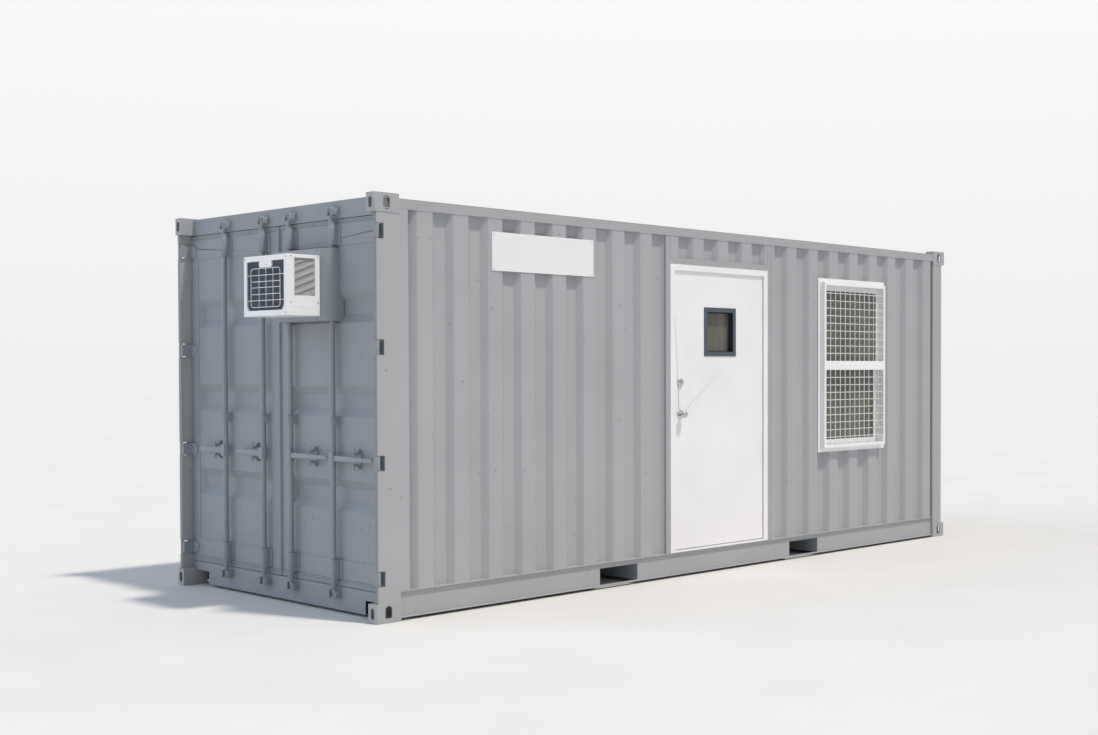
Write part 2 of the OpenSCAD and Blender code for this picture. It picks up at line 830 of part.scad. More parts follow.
module vision_frame() {
    lip = lite_lap;
    color(dark_steel) difference() {
        union() {
            block([lite_x - lite_w / 2, -leaf_face - lite_proud, lite_z - lite_h / 2],
                  [lite_x + lite_w / 2, -leaf_face, lite_z + lite_h / 2]);
            block([lite_x - lite_w / 2, -leaf_inside, lite_z - lite_h / 2],
                  [lite_x + lite_w / 2, -leaf_inside + lite_proud, lite_z + lite_h / 2]);
            block([lite_x - lite_w / 2 + lip, -leaf_face, lite_z - lite_h / 2 + lip],
                  [lite_x + lite_w / 2 - lip, -leaf_inside, lite_z + lite_h / 2 - lip]);
        }
        block([lite_x - lite_w / 2 + lite_face, -leaf_face - lite_proud - over,
               lite_z - lite_h / 2 + lite_face],
              [lite_x + lite_w / 2 - lite_face, -leaf_inside + lite_proud + over,
               lite_z + lite_h / 2 - lite_face]);
    }
}

// The pane is set flush with the inner face of its frame
module vision_glass() {
    y = -leaf_inside + lite_proud;
    color([0.41, 0.40, 0.37, 0.6])
        block([lite_x - lite_w / 2 + lite_face, y - glass_t, lite_z - lite_h / 2 + lite_face],
              [lite_x + lite_w / 2 - lite_face, y, lite_z + lite_h / 2 - lite_face]);
}

// Children drawn once on the leaf's outer face and once on its inner face, pointing away from it
module both_faces() {
    translate([lock_x, -leaf_face, knob_z]) rotate([90, 0, 0]) children();
    translate([lock_x, -leaf_inside, knob_z]) mirror([0, 1, 0]) rotate([90, 0, 0]) children();
}

// Knob rose and deadbolt on each face of the leaf
module lock_trim() {
    color("silver") both_faces() {
        difference() {
            cylinder(r1 = rose_r, r2 = rose_r - 4, h = rose_t);
            translate([0, 0, -over]) cylinder(r = spindle_r + 1, h = rose_t + 2 * over);
        }
        translate([0, bolt_rise, 0]) {
            cylinder(r1 = rose_r, r2 = rose_r - 5, h = 2 * rose_t);
            cylinder(r = rose_r / 2, h = 3 * rose_t);
        }
    }
}

// A knob on each side of the leaf, on one spindle
module door_knob() {
    reach = rose_t + seat;
    color("silver") {
        translate([lock_x, -leaf_face - reach - over, knob_z]) rotate([-90, 0, 0])
            cylinder(r = spindle_r, h = door_t + 2 * reach + 2 * over);
        both_faces() translate([0, 0, reach]) rotate_extrude()
            polygon([[0, 0], [14, 0], [14, 14], [22, 26], [knob_r, 40], [knob_r, 50],
                     [knob_r - 6, 56], [0, 57]]);
    }
}

// The +Y leaf's frame with its four hinge blades
module leaf_frame() {
    color(end_grey) {
        difference() {
            block([leaf_x, leaf_free, leaf_low], [leaf_back_x, leaf_edge, leaf_high]);
            block([leaf_x - over, leaf_free + stile_in, panel_low],
                  [leaf_back_x + over, leaf_edge - stile_out, panel_high]);
        }
        for (z = hinge_zs) hinge_blade(z);
    }
}

// Blade from the pin's knuckle round the post's front bar to the leaf's face
module hinge_blade(z) {
    leg_y = blade_leg_y;
    difference() {
        translate([0, 0, z - blade_h / 2]) linear_extrude(blade_h) {
            translate([pin_x, pin_y]) circle(r = knuckle_r);
            translate([pin_x - blade_t / 2, leg_y]) square([blade_t, pin_y - leg_y]);
            translate([pin_x - blade_t / 2, leg_y]) square([leaf_x - pin_x + blade_t / 2, blade_t]);
        }
        translate([pin_x, pin_y, z - blade_h / 2 - over])
            cylinder(r = pin_r + pin_play, h = blade_h + 2 * over);
    }
    translate([leaf_x - blade_t, leg_y + blade_t, z]) rotate([90, 0, 90]) linear_extrude(blade_t) {
        translate([-blade_reach + blade_h / 2, -blade_h / 2])
            square([blade_reach - blade_h / 2, blade_h]);
        intersection() {
            translate([-blade_reach + blade_h / 2, 0]) circle(d = blade_h);
            translate([-blade_reach, -blade_h / 2]) square([blade_h / 2, blade_h]);
        }
    }
}

// Heights of the pressed bands' middles
band_zs = [for (i = [0 : 2]) band_low_z + i * band_pitch];

// A pressed band: a trapezoid in the upright section and in plan
module band(grow, z) {
    a = leaf_free + stile_in;
    b = leaf_edge - stile_out;
    d = band_depth + grow;
    h = band_h / 2 + grow * 0.6;
    intersection() {
        translate([0, b, z]) rotate([90, 0, 0]) linear_extrude(b - a)
            polygon([[0, h], [d, h - band_slope], [d, band_slope - h], [0, -h]]);
        translate([0, 0, z - h]) linear_extrude(2 * h)
            polygon([[0, a], [0, b], [d, b - band_slope * 0.7], [d, a + band_slope * 0.7]]);
    }
}

module leaf_panel() {
    color(end_grey) difference() {
        union() {
            block([panel_x, leaf_free + stile_in, panel_low],
                  [panel_x + panel_t, leaf_edge - stile_out, panel_high]);
            for (z = band_zs) translate([panel_x + over, 0, 0]) band(panel_t - over, z);
        }
        for (z = band_zs) translate([panel_x - 0.01, 0, 0]) band(0, z);
    }
}

module leaf_seal() {
    d = 22;
    color("#7E868E") difference() {
        block([leaf_x, seam_half, sill_z + gap], [leaf_x + d, post_in - gap, header_z - gap]);
        block([leaf_x - over, leaf_free, leaf_low], [leaf_x + d + over, leaf_edge, leaf_high]);
    }
}

// A guide that holds a rod off the leaf, with a foot of the given reach on the face at the given depth
module rod_guide(y, z, h, foot_w, foot_x) {
    half = rod_r + guide_wall;
    difference() {
        union() {
            translate([rod_x, y, z]) cylinder(r = half, h = h);
            block([rod_x, y - half, z], [leaf_x - foot_t, y + half, z + h]);
            block([leaf_x - foot_t, y - half - foot_w, z], [foot_x, y + half + foot_w, z + h]);
        }
        translate([rod_x, y, z - over]) cylinder(r = rod_r + rod_play, h = h + 2 * over);
    }
}

// A catch: a base with one ear above and one below the handle bar
module handle_catch(y) {
    clear = handle_h / 2 + gap;
    foot = leaf_x - foot_t;
    ear_x = rod_x - 12;
    block([foot, y - 20, handle_z - catch_h / 2], [panel_x, y + 20, handle_z + catch_h / 2]);
    block([ear_x, y - 7, handle_z + clear], [foot, y + 7, handle_z + catch_h / 2 - 4]);
    block([ear_x, y - 7, handle_z - catch_h / 2 + 4], [foot, y + 7, handle_z - clear]);
}

// Guides of a leaf's rods, each an entry [y of the rod, y of its catch]
module leaf_guides(rods) {
    color(end_grey) for (r = rods) {
        rod_guide(r[0], guide_low_z, guide_l, guide_foot, leaf_x);
        rod_guide(r[0], guide_mid_z - guide_mid_l / 2, guide_mid_l, foot_t, panel_x);
        rod_guide(r[0], guide_high_z, guide_l, guide_foot, leaf_x);
        handle_catch(r[1]);
    }
}

// A lock rod with a cam at each end and a handle that reaches along +y or -y
module lock_rod(y, dir, reach) {
    color(end_grey) {
        translate([rod_x, y, rod_low]) cylinder(r = rod_r, h = rod_high - rod_low);
        for (z = [cam_low_z, cam_high_z]) translate([rod_x, y, z]) difference() {
            cylinder(r = cam_r, h = cam_h);
            translate([-rod_r - 14, -6, 12]) cube([18, 12, cam_h - 24]);
        }
        translate([rod_x, y, handle_z]) {
            translate([0, 0, -32]) cylinder(r = rod_r + 4, h = 64);
            towards(dir) {
                block([-18, 10, -28], [-4, 52, 28]);
                translate([-16, 0, 0]) rotate([0, 90, 0]) linear_extrude(handle_t) {
                    polygon([[-handle_h / 2, 50], [handle_h / 2, 50], [handle_h * 0.36, reach - 20],
                             [-handle_h * 0.36, reach - 20]]);
                    translate([0, reach - handle_h * 0.36]) circle(r = handle_h * 0.36);
                }
            }
        }
    }
}

// Children as drawn towards +y, or mirrored towards -y
module towards(dir) {
    mirror([0, dir < 0 ? 1 : 0, 0]) children();
}

module left_leaf_frame() { leaf_frame(); }
module left_leaf_panel() { leaf_panel(); }
module left_leaf_seal() { leaf_seal(); }
module left_leaf_guides() { leaf_guides([[rod_out, rod_out + 110], [rod_in, rod_in + 112]]); }
module left_outer_rod() { lock_rod(rod_out, 1, handle_left); }
module left_inner_rod() { lock_rod(rod_in, 1, handle_left); }
module right_leaf_frame() { mirror([0, 1, 0]) leaf_frame(); }
module right_leaf_panel() {
    color(end_grey) difference() {
        mirror([0, 1, 0]) leaf_panel();
        ac_sleeve(over);
    }
}
module right_leaf_seal() { mirror([0, 1, 0]) leaf_seal(); }
module right_leaf_guides() {
    leaf_guides([[-rod_in, -rod_in - 252], [-rod_out, -rod_out - 252]]);
}
module right_inner_rod() { lock_rod(-rod_in, -1, handle_right); }
module right_outer_rod() { lock_rod(-rod_out, -1, handle_right); }

// Plan of the housing, inset by the given amount, with its -y corner rounded
module housing_plan(inset, x1) {
    r = housing_round;
    y0 = -housing_y - housing_w / 2;
    intersection() {
        translate([-half_l + inset, y0 + inset]) square([x1 + half_l - inset, housing_w - 2 * inset]);
        union() {
            translate([-half_l, y0 + r]) square([x1 + half_l, housing_w - r]);
            translate([-half_l + r, y0]) square([x1 + half_l - r, r]);
            translate([-half_l + r, y0 + r]) circle(r = r - inset);
        }
    }
}

// Steel housing over the rods, scribed to the leaf and its top band and open towards them
module ac_housing() {
    deep = leaf_x + band_depth;
    panel_edge = leaf_free + stile_in;
    color(wall_grey) difference() {
        translate([0, 0, housing_z]) linear_extrude(housing_h) housing_plan(0, deep);
        translate([0, 0, housing_z + housing_t]) linear_extrude(housing_h - 2 * housing_t)
            housing_plan(housing_t, deep + over);
        difference() {
            block([leaf_x, -half_w, housing_z - over], [deep + over, 0, housing_z + housing_h + over]);
            block([leaf_x - over, -half_w, housing_z - 2 * over],
                  [panel_x, -panel_edge, housing_z + housing_h + 2 * over]);
            translate([panel_x, 0, 0]) mirror([0, 1, 0]) band(-seat, band_zs[2]);
        }
        block([-half_l - over, -ac_y - ac_w / 2 + ac_lap, ac_z + ac_lap],
              [-half_l + housing_t + over, -ac_y + ac_w / 2 - ac_lap, ac_z + ac_h - ac_lap]);
        for (y = [-rod_in, -rod_out]) translate([rod_x, y, housing_z - over])
            cylinder(r = rod_r + gap, h = housing_h + 2 * over);
    }
}

module air_conditioner() {
    color("#E9EAEC")
        block([-half_l - ac_d, -ac_y - ac_w / 2, ac_z], [-half_l, -ac_y + ac_w / 2, ac_z + ac_h]);
}

// The part of the unit that passes through the leaf's panel, between the lock rods
module ac_sleeve(reach) {
    block([panel_x - reach, -rod_out + rod_r + 2 * gap, ac_z + ac_lap],
          [leaf_back_x + reach, -rod_in - rod_r - 2 * gap, ac_z + ac_h - ac_lap]);
}

module ac_indoor_fascia() {
    color("#E9EAEC") {
        ac_sleeve(0);
        block([leaf_back_x, -ac_y - ac_w / 2, ac_z], [leaf_back_x + ac_inner, -ac_y + ac_w / 2, ac_z + ac_h]);
    }
}

corner_castings();
door_posts();
blind_end_posts();
door_header();
door_sill();
cam_keepers();
bottom_side_rails();
top_side_rails();
blind_end_rails();
cross_members();
forklift_pockets();
floor_boards();  // floor
roof_panel();
rear_wall();
blind_end_wall();
front_wall_left();
front_wall_over_door();
front_wall_right();
doorway_surround();
front_lining_left();
front_lining_over_door();
front_lining_right();
rear_lining();
blind_end_lining();
ceiling_panel();  // ceiling
door_frame();
door_hinges();
window_frame();
window_sashes();
window_glass();
sign_board();
door_leaf();
door_hinge_leaves();
vision_frame();
vision_glass();
lock_trim();
door_knob();
left_leaf_frame();
left_leaf_panel();
left_leaf_seal();
left_leaf_guides();
left_outer_rod();
left_inner_rod();
right_leaf_frame();
right_leaf_panel();
right_leaf_seal();
right_leaf_guides();
right_inner_rod();
right_outer_rod();
ac_housing();
air_conditioner();
ac_indoor_fascia();
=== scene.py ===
"""The looks of a twenty-foot shipping container cabin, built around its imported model."""
import math
import random

import bmesh
import bpy
from bpy.props import FloatProperty, FloatVectorProperty, PointerProperty
from mathutils import Matrix, Vector


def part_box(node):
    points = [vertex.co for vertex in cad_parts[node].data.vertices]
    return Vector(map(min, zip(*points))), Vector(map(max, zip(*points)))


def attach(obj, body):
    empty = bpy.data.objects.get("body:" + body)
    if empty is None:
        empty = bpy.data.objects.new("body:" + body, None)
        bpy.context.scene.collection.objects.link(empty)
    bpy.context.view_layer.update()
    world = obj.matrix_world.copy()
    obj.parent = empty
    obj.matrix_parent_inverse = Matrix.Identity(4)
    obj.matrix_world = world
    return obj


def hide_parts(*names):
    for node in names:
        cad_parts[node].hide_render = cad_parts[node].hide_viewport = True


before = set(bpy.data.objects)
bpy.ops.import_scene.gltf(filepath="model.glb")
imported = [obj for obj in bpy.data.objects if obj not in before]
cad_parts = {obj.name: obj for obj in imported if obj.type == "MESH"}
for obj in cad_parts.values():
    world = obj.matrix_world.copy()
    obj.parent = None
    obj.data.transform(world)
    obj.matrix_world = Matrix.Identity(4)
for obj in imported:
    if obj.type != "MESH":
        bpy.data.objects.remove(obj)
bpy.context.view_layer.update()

bl_info = {
    "name": "Shipping container cabin",
    "version": (1, 0, 0),
    "blender": (4, 5, 0),
    "location": "View3D > Sidebar > Cabin",
    "description": "Sheets, ironwork, fittings and finishes of a container cabin",
    "category": "Add Mesh",
}

MM = 0.001
CABIN, DOOR, KNOB = "cabin", "cabin_door", "door_knob"
LEFT, RIGHT = "left_cargo_leaf", "right_cargo_leaf"
RODS = ("left_outer_rod", "left_inner_rod", "right_inner_rod", "right_outer_rod")

# Places on the cargo end, in millimetres from the cabin's middle and from the ground
INNER_ROD, OUTER_ROD = 168, 661
LEFT_CATCHES, RIGHT_CATCHES = (280, 771), (-420, -913)
HANDLE_Z, MIDDLE_GUIDE_Z = 974, 1181
CAM_HEIGHT, CAM_RADIUS = 56, 19.5
HINGE_X, HINGE_Y = -3001, 1204
LOWEST_HINGE, HIGHEST_HINGE, HINGE_HALF = 266, 2360, 42.6
# Outer edge of a leaf's steel, plane of the bottom rails' web, and height of a casting
LEAF_EDGE, RAIL_WEB_Y, CASTING_HEIGHT = 1168, 1199, 118
# The rail of the window's box that hides the meeting of the sashes
WINDOW_RAIL_Z, WINDOW_RAIL_HALF = 1557, 37.5
# Heights of the level wires in the air conditioner's guard
GUARD_WIRES = (2118, 2078, 2041, 1999, 1960)

# Strength of the sun, of the sky and of the cool light on the cargo end
SUN, SKY, FILL = 2.5, 0.62, 0.75
# The sun stands steeply over the front wall
SUN_WAY = (-0.13, 0.40, -0.91)
FILL_WAY = (0.62, -0.56, -0.55)
# The backdrop meets the floor in the floor's own tone
HORIZON = "#EFEFEE"
# Where the camera stands, in metres, and which way it looks, in radians
CAMERA_PLACE = (-7.9513, -8.5628, 1.5447)
CAMERA_YAW, CAMERA_PITCH = 0.7151, -0.0216


def linear(code):
    """An sRGB hex colour as the linear red, green and blue that shaders take."""
    parts = [int(code[i:i + 2], 16) / 255 for i in (1, 3, 5)]
    return [p / 12.92 if p <= 0.04045 else ((p + 0.055) / 1.055) ** 2.4 for p in parts]


def length(name, about, millimetres):
    """A size that the user may change."""
    return FloatProperty(name=name, description=about, default=millimetres * MM,
                         min=0.0, unit="LENGTH", precision=4)


def colour(name, about, code):
    """A colour that the user may change."""
    return FloatVectorProperty(name=name, description=about, default=linear(code),
                               subtype="COLOR", min=0.0, max=1.0)


class CabinSheetSizes(bpy.types.PropertyGroup):
    """Sizes of the corrugated sheets."""
    pitch: length("Pitch", "Distance from one corrugation to the next", 271)
    crest: length("Crest", "Width of a corrugation's outer flat", 112)
    slope: length("Slope", "Width of a corrugation's slanted side", 40)
    first: length("First crest", "Distance from the door post to the first crest", 68)
    thickness: length("Thickness", "Thickness of the sheet", 3)
    fold: length("Fold radius", "Radius of the folds", 14)
    bead: length("Weld bead", "Radius of the weld beads", 3)


class CabinIronwork(bpy.types.PropertyGroup):
    """Sizes of the cargo doors' ironwork."""
    rod: length("Rod radius", "Radius of a lock rod", 17)
    rod_x: length("Rod inset", "Distance of the rods' axis from the cargo end", 66)
    strap: length("Strap", "Thickness of a guide's strap", 6)
    foot: length("Foot", "Reach of a long guide's foot beside its strap", 26)
    handle: length("Handle height", "Height of a handle bar at its root", 34)
    bolt: length("Bolt radius", "Radius of a bolt head", 7)
    seal: length("Seal bulge", "How far the seal's lips stand off the leaf", 3)


class CabinUnitSizes(bpy.types.PropertyGroup):
    """Sizes of the air conditioner."""
    edge: length("Edge radius", "Radius of the casing's upright edges", 16)
    recess: length("Grille depth", "Depth of the grille behind the casing's front", 16)
    fin: length("Fin pitch", "Distance from one fin to the next", 11)
    wire: length("Guard wire", "Radius of the guard's wires", 2.6)


class CabinWindowSizes(bpy.types.PropertyGroup):
    """Sizes of the window's screen and rubbers."""
    wire: length("Screen wire", "Radius of the screen's wires", 3.4)
    mesh: length("Screen mesh", "Distance from one wire to the next", 64.5)
    gasket: length("Gasket", "Width of the rubber round a pane", 9)


class CabinColours(bpy.types.PropertyGroup):
    """Colours of the paints and boards."""
    wall: colour("Wall", "Paint of the walls and posts", "#A7A9AC")
    # The cargo end's grey is darker and bluer than the walls' as painted shade of that end
    end: colour("Cargo end", "Paint of the cargo doors", "#90969E")
    white: colour("White", "Paint of the door and window", "#EDEDEE")
    steel: colour("Dark steel", "Paint of the vision panel's frame", "#465260")
    sign: colour("Sign", "Coating of the blank sign", "#E6E8E9")
    casing: colour("Casing", "Enamel of the air conditioner", "#F5F6F7")
    fins: colour("Fins", "Coating of the cooling fins", "#6C7787")
    seal: colour("Seal", "Rubber of the cargo doors' seal", "#8B9299")
    floor: colour("Floor", "Plywood of the floor", "#8E7250")
    lining: colour("Lining", "Board of the walls and ceiling", "#C9C2B4")


GROUPS = {"cabin_sheets": CabinSheetSizes, "cabin_ironwork": CabinIronwork,
          "cabin_unit": CabinUnitSizes, "cabin_window": CabinWindowSizes,
          "cabin_colours": CabinColours}


def sizes(group):
    """The sizes of a group, in millimetres."""
    values = getattr(bpy.context.scene, group)
    return {key: getattr(values, key) / MM for key in values.__annotations__}


def span(name):
    """Lowest and highest corner of a node, in millimetres."""
    low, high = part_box(name)
    return low / MM, high / MM


# ---------------------------------------------------------------- shapes

SIDES = {
    "up": ((1, 0, 0), (0, 1, 0), (0, 0, 1)),
    "front": ((1, 0, 0), (0, 0, 1), (0, -1, 0)),
    "rear": ((1, 0, 0), (0, 0, 1), (0, 1, 0)),
    "cargo": ((0, 1, 0), (0, 0, 1), (-1, 0, 0)),
}


def facing(side, origin=(0, 0, 0)):
    """Turns (u, v, w) into a point: w leaves the named side of the origin."""
    u, v, w = (Vector(axis) for axis in SIDES[side])
    start = Vector(origin)
    return lambda a, b, c: start + a * u + b * v + c * w


def oblong(low, high, radius=0.0, steps=3):
    """Outline of a rectangle with round corners."""
    (a, b), (c, d) = low, high
    radius = min(radius, (c - a) / 2, (d - b) / 2)
    if radius <= 0:
        return [(a, b), (c, b), (c, d), (a, d)]
    corners = ((c - radius, b + radius, -90), (c - radius, d - radius, 0),
               (a + radius, d - radius, 90), (a + radius, b + radius, 180))
    return [(x + radius * math.cos(math.radians(turn + 90 * i / steps)),
             y + radius * math.sin(math.radians(turn + 90 * i / steps)))
            for x, y, turn in corners for i in range(steps + 1)]


def disc(radius, count):
    """Outline of a circle."""
    return [(radius * math.cos(turn), radius * math.sin(turn))
            for turn in (2 * math.pi * i / count for i in range(count))]


def rounded(points, radius, steps=3, closed=False):
    """A line through the points with each corner rounded."""
    points = [Vector(p) for p in points]
    count = len(points)
    line = [] if closed else [points[0]]
    for i in range(0 if closed else 1, count if closed else count - 1):
        before, here, after = points[i - 1], points[i], points[(i + 1) % count]
        back, on = before - here, after - here
        turn = back.angle(on, math.pi)
        reach = min(radius / max(math.tan(turn / 2), 1e-4), back.length * 0.49, on.length * 0.49)
        if turn > math.pi - 0.02 or reach < 0.05:
            line.append(here)
            continue
        start, end = here + back.normalized() * reach, here + on.normalized() * reach
        for k in range(steps + 1):
            t = k / steps
            line.append(start * (1 - t) ** 2 + here * 2 * t * (1 - t) + end * t * t)
    return line if closed else line + [points[-1]]


def shrunk(outline, by):
    """The outline moved inwards."""
    points = [Vector(p) for p in outline]
    area = sum(points[i - 1].cross(points[i]) for i in range(len(points)))
    by = by if area > 0 else -by
    moved = []
    for i, here in enumerate(points):
        into = (here - points[i - 1]).normalized()
        out = (points[(i + 1) % len(points)] - here).normalized()
        normal = Vector((-into.y, into.x)) + Vector((-out.y, out.x))
        size = max(normal.length_squared / 2, 0.3)
        moved.append(here + normal * by / size)
    return moved


class Shape:
    """Faces of one piece, drawn in millimetres."""

    def __init__(self):
        self.mesh = bmesh.new()

    def skin(self, rings, closed=False):
        """Faces between rings of equally many points, capped unless the rings close."""
        made = [[self.mesh.verts.new(Vector(p) * MM) for p in ring] for ring in rings]
        count = len(made[0])
        for a, b in zip(made, made[1:] + made[:1] if closed else made[1:]):
            for i in range(count):
                j = (i + 1) % count
                self.mesh.faces.new((a[i], a[j], b[j], b[i]))
        if not closed:
            self.mesh.faces.new(made[0][::-1])
            self.mesh.faces.new(made[-1])

    def prism(self, outline, low, high, place, ease=0.0):
        """A solid on an outline, with its rims eased."""
        steps = [(outline, low), (outline, high)]
        if ease:
            small, middle = shrunk(outline, ease), shrunk(outline, ease * 0.3)
            steps = [(small, low), (middle, low + ease * 0.3), (outline, low + ease),
                     (outline, high - ease), (middle, high - ease * 0.3), (small, high)]
        self.skin([[place(u, v, w) for u, v in line] for line, w in steps])

    def block(self, low, high, ease=1.5, corner=2.0):
        """A box between two corners, with soft edges."""
        self.prism(oblong(low[:2], high[:2], corner, 2), low[2], high[2], facing("up"), ease)

    def tube(self, path, radius, sides=8, closed=False, jitter=0.0, seed=0):
        """A round bar along a path."""
        dice = random.Random(seed)
        path = [Vector(p) for p in path]
        count = len(path)
        rings, normal = [], None
        for i, here in enumerate(path):
            before = path[i - 1] if i or closed else here
            after = path[(i + 1) % count] if i < count - 1 or closed else here
            way = (after - before).normalized()
            if normal is None:
                normal = way.orthogonal().normalized()
            normal = (normal - way * normal.dot(way)).normalized()
            side = way.cross(normal)
            r = radius * (1 + dice.uniform(-jitter, jitter))
            rings.append([here + (normal * math.cos(t) + side * math.sin(t)) * r
                          for t in (2 * math.pi * k / sides for k in range(sides))])
        self.skin(rings, closed)

    def turned(self, profile, place, count=32):
        """A solid of revolution from (radius, height) pairs."""
        self.skin([[place(u, v, h) for u, v in disc(max(r, 0.2), count)] for r, h in profile])

    def bolt(self, place, radius, height):
        """A hexagon head on its washer."""
        self.turned([(radius * 1.35, 0), (radius * 1.35, 1.2), (radius * 1.25, 1.6)], place, 20)
        self.turned([(radius, 1.2), (radius, height - 1), (radius * 0.86, height)], place, 6)

    def screw(self, place, radius):
        """A low domed head."""
        self.turned([(radius, 0), (radius, radius * 0.2), (radius * 0.8, radius * 0.45),
                     (radius * 0.35, radius * 0.6)], place, 16)

    def frame(self, low, high, profile, place, corner=0.0):
        """A ring round a rectangle: the profile holds (inset, height) pairs.

        An inset is one number, or one each for the left, bottom, right and top."""
        rings = []
        for inset, height in profile:
            left, foot, right, top = inset if isinstance(inset, tuple) else (inset,) * 4
            line = oblong((low[0] + left, low[1] + foot), (high[0] - right, high[1] - top),
                          max(corner - min(left, foot, right, top), 0.6) if corner else 0.0)
            rings.append([place(u, v, height) for u, v in line])
        self.skin(rings, closed=True)

    def piece(self, name, finish, body, slot, *replaced):
        """The finished object, which rides on its body."""
        bmesh.ops.recalc_face_normals(self.mesh, faces=self.mesh.faces)
        data = bpy.data.meshes.new(name)
        self.mesh.to_mesh(data)
        self.mesh.free()
        data.shade_smooth()
        data.set_sharp_from_angle(angle=math.radians(38))
        data.materials.append(finish)
        uses = [0] * len(data.edges)
        for loop in data.loops:
            uses[loop.edge_index] += 1
        for edge, count in zip(data.edges, uses):
            if count == 1:
                edge.use_edge_sharp = True
        made = bpy.data.objects.new(name, data)
        bpy.context.scene.collection.objects.link(made)
        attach(made, body)
        if replaced:
            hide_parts(*replaced)
        return made


# ---------------------------------------------------------------- finishes

def rgba(value):
    """Four channels from a hex code or a linear colour."""
    return (*(linear(value) if isinstance(value, str) else value), 1.0)


def add(tree, kind, inputs=None, stops=(), **settings):
    """Adds a shader node and gives it back.

    An input is linked from a socket or from a node's first output, and any other value is
    set; stops are a colour ramp's (place, colour) pairs."""
    made = tree.nodes.new("ShaderNode" + kind)
    for key, value in settings.items():
        setattr(made, key, value)
    for key, value in (inputs or {}).items():
        if isinstance(value, bpy.types.Node):
            value = value.outputs[0]
        if isinstance(value, bpy.types.NodeSocket):
            tree.links.new(value, made.inputs[key])
        else:
            made.inputs[key].default_value = rgba(value) if isinstance(value, str) else value
    for i, (place, value) in enumerate(stops):
        ramp = made.color_ramp.elements
        stop = ramp[i] if i < 2 else ramp.new(place)
        stop.position, stop.color = place, rgba(value)
    return made


def grain(tree, millimetres, detail=3.0, stretch=(1, 1, 1)):
    """Noise whose features are about the given size."""
    where = add(tree, "TexCoord").outputs["Object"]
    placed = add(tree, "Mapping", {"Vector": where, "Scale": stretch})
    return add(tree, "TexNoise", {"Vector": placed, "Scale": 1 / (millimetres * MM),
                                  "Detail": detail, "Roughness": 0.55})


def flecks(tree, cell, size, share):
    """Small spots: one in some cells, each about the given size across."""
    where = add(tree, "TexCoord").outputs["Object"]
    cells = add(tree, "TexVoronoi", {"Vector": where, "Scale": 1 / (cell * MM), "Randomness": 1.0})
    spot = add(tree, "MapRange", {"Value": cells, "From Min": 0.5 * size / cell,
                                  "From Max": 0.8 * size / cell, "To Min": 1.0, "To Max": 0.0})
    pick = add(tree, "SeparateColor", {"Color": cells.outputs["Color"]})
    kept = add(tree, "Math", {0: pick, 1: share}, operation="LESS_THAN")
    return add(tree, "Math", {0: spot, 1: kept}, operation="MULTIPLY")


def relief(tree, parts):
    """Bumps on top of each other, from (height, millimetres) pairs."""
    inputs = {}
    for height, depth in parts:
        inputs.update(Height=height, Distance=depth * MM, Strength=1.0)
        inputs["Normal"] = add(tree, "Bump", inputs)
    return inputs["Normal"]


def uneven(tree, pattern, low, high):
    """Roughness that wanders with a grain's middle tones."""
    return add(tree, "MapRange", {"Value": pattern, "From Min": 0.3, "From Max": 0.7,
                                  "To Min": low, "To Max": high})


def finish(name, build, **fixed):
    """A material: build(tree) returns the linked inputs, fixed holds the even ones."""
    made = bpy.data.materials.get(name)
    if made:
        return made
    made = bpy.data.materials.new(name)
    made.use_nodes = True
    tree = made.node_tree
    shader = tree.nodes["Principled BSDF"]
    for key, value in build(tree).items():
        socket = value.outputs[0] if isinstance(value, bpy.types.Node) else value
        tree.links.new(socket, shader.inputs[key])
    for key, value in fixed.items():
        shader.inputs[key.replace("_", " ")].default_value = value
    made.diffuse_color = (0.6, 0.6, 0.6, 1.0)
    return made


def scaled(value, by):
    """A linear colour made lighter or darker."""
    return [min(channel * by, 1.0) for channel in value]


def colours():
    """The colours that the user may change."""
    return bpy.context.scene.cabin_colours


def sprayed(value, gloss, dust="#8F8A80", cell=80, share=0.5, dents=0.5, streaks=0.06):
    """Paint sprayed on metal: cloudy tone, thin dust, a few specks and a faint orange peel."""
    def build(tree):
        tone = add(tree, "ValToRGB", {"Fac": grain(tree, 620, 4)},
                   [(0.3, scaled(value, 0.955)), (0.5, value), (0.7, scaled(value, 1.03))])
        # Rain leaves streaks about 30 mm apart that run down for a metre
        streak = add(tree, "MapRange", {"Value": grain(tree, 30, 3, (1, 1, 0.03)),
                                        "From Min": 0.56, "From Max": 0.8, "To Max": streaks})
        tone = add(tree, "Mix", {"Factor": streak, 6: tone, 7: dust}, data_type="RGBA")
        # Specks of grime 7 mm across, about a third of a metre apart
        specks = flecks(tree, cell, 7, share)
        tone = add(tree, "Mix", {"Factor": specks, 6: tone.outputs[2], 7: "#5A5550"},
                   data_type="RGBA")
        # Real orange peel is 1 mm wide and is drawn 4 mm wide so that it shows
        normal = relief(tree, [(grain(tree, 420, 2), dents), (grain(tree, 4, 1), 0.05)])
        return {"Base Color": tone.outputs[2], "Normal": normal,
                "Roughness": uneven(tree, grain(tree, 90, 4), gloss - 0.06, gloss + 0.08)}
    return build


def wall_enamel():
    """Satin alkyd enamel sprayed over corrugated steel: even grey with slow clouds."""
    return finish("satin_alkyd_on_corrugated_steel", sprayed(colours().wall, 0.5, dents=1.4))


def post_enamel():
    """The same enamel on thick plate: flatter and a shade darker."""
    return finish("satin_alkyd_on_plate", sprayed(scaled(colours().wall, 0.97), 0.46, cell=90))


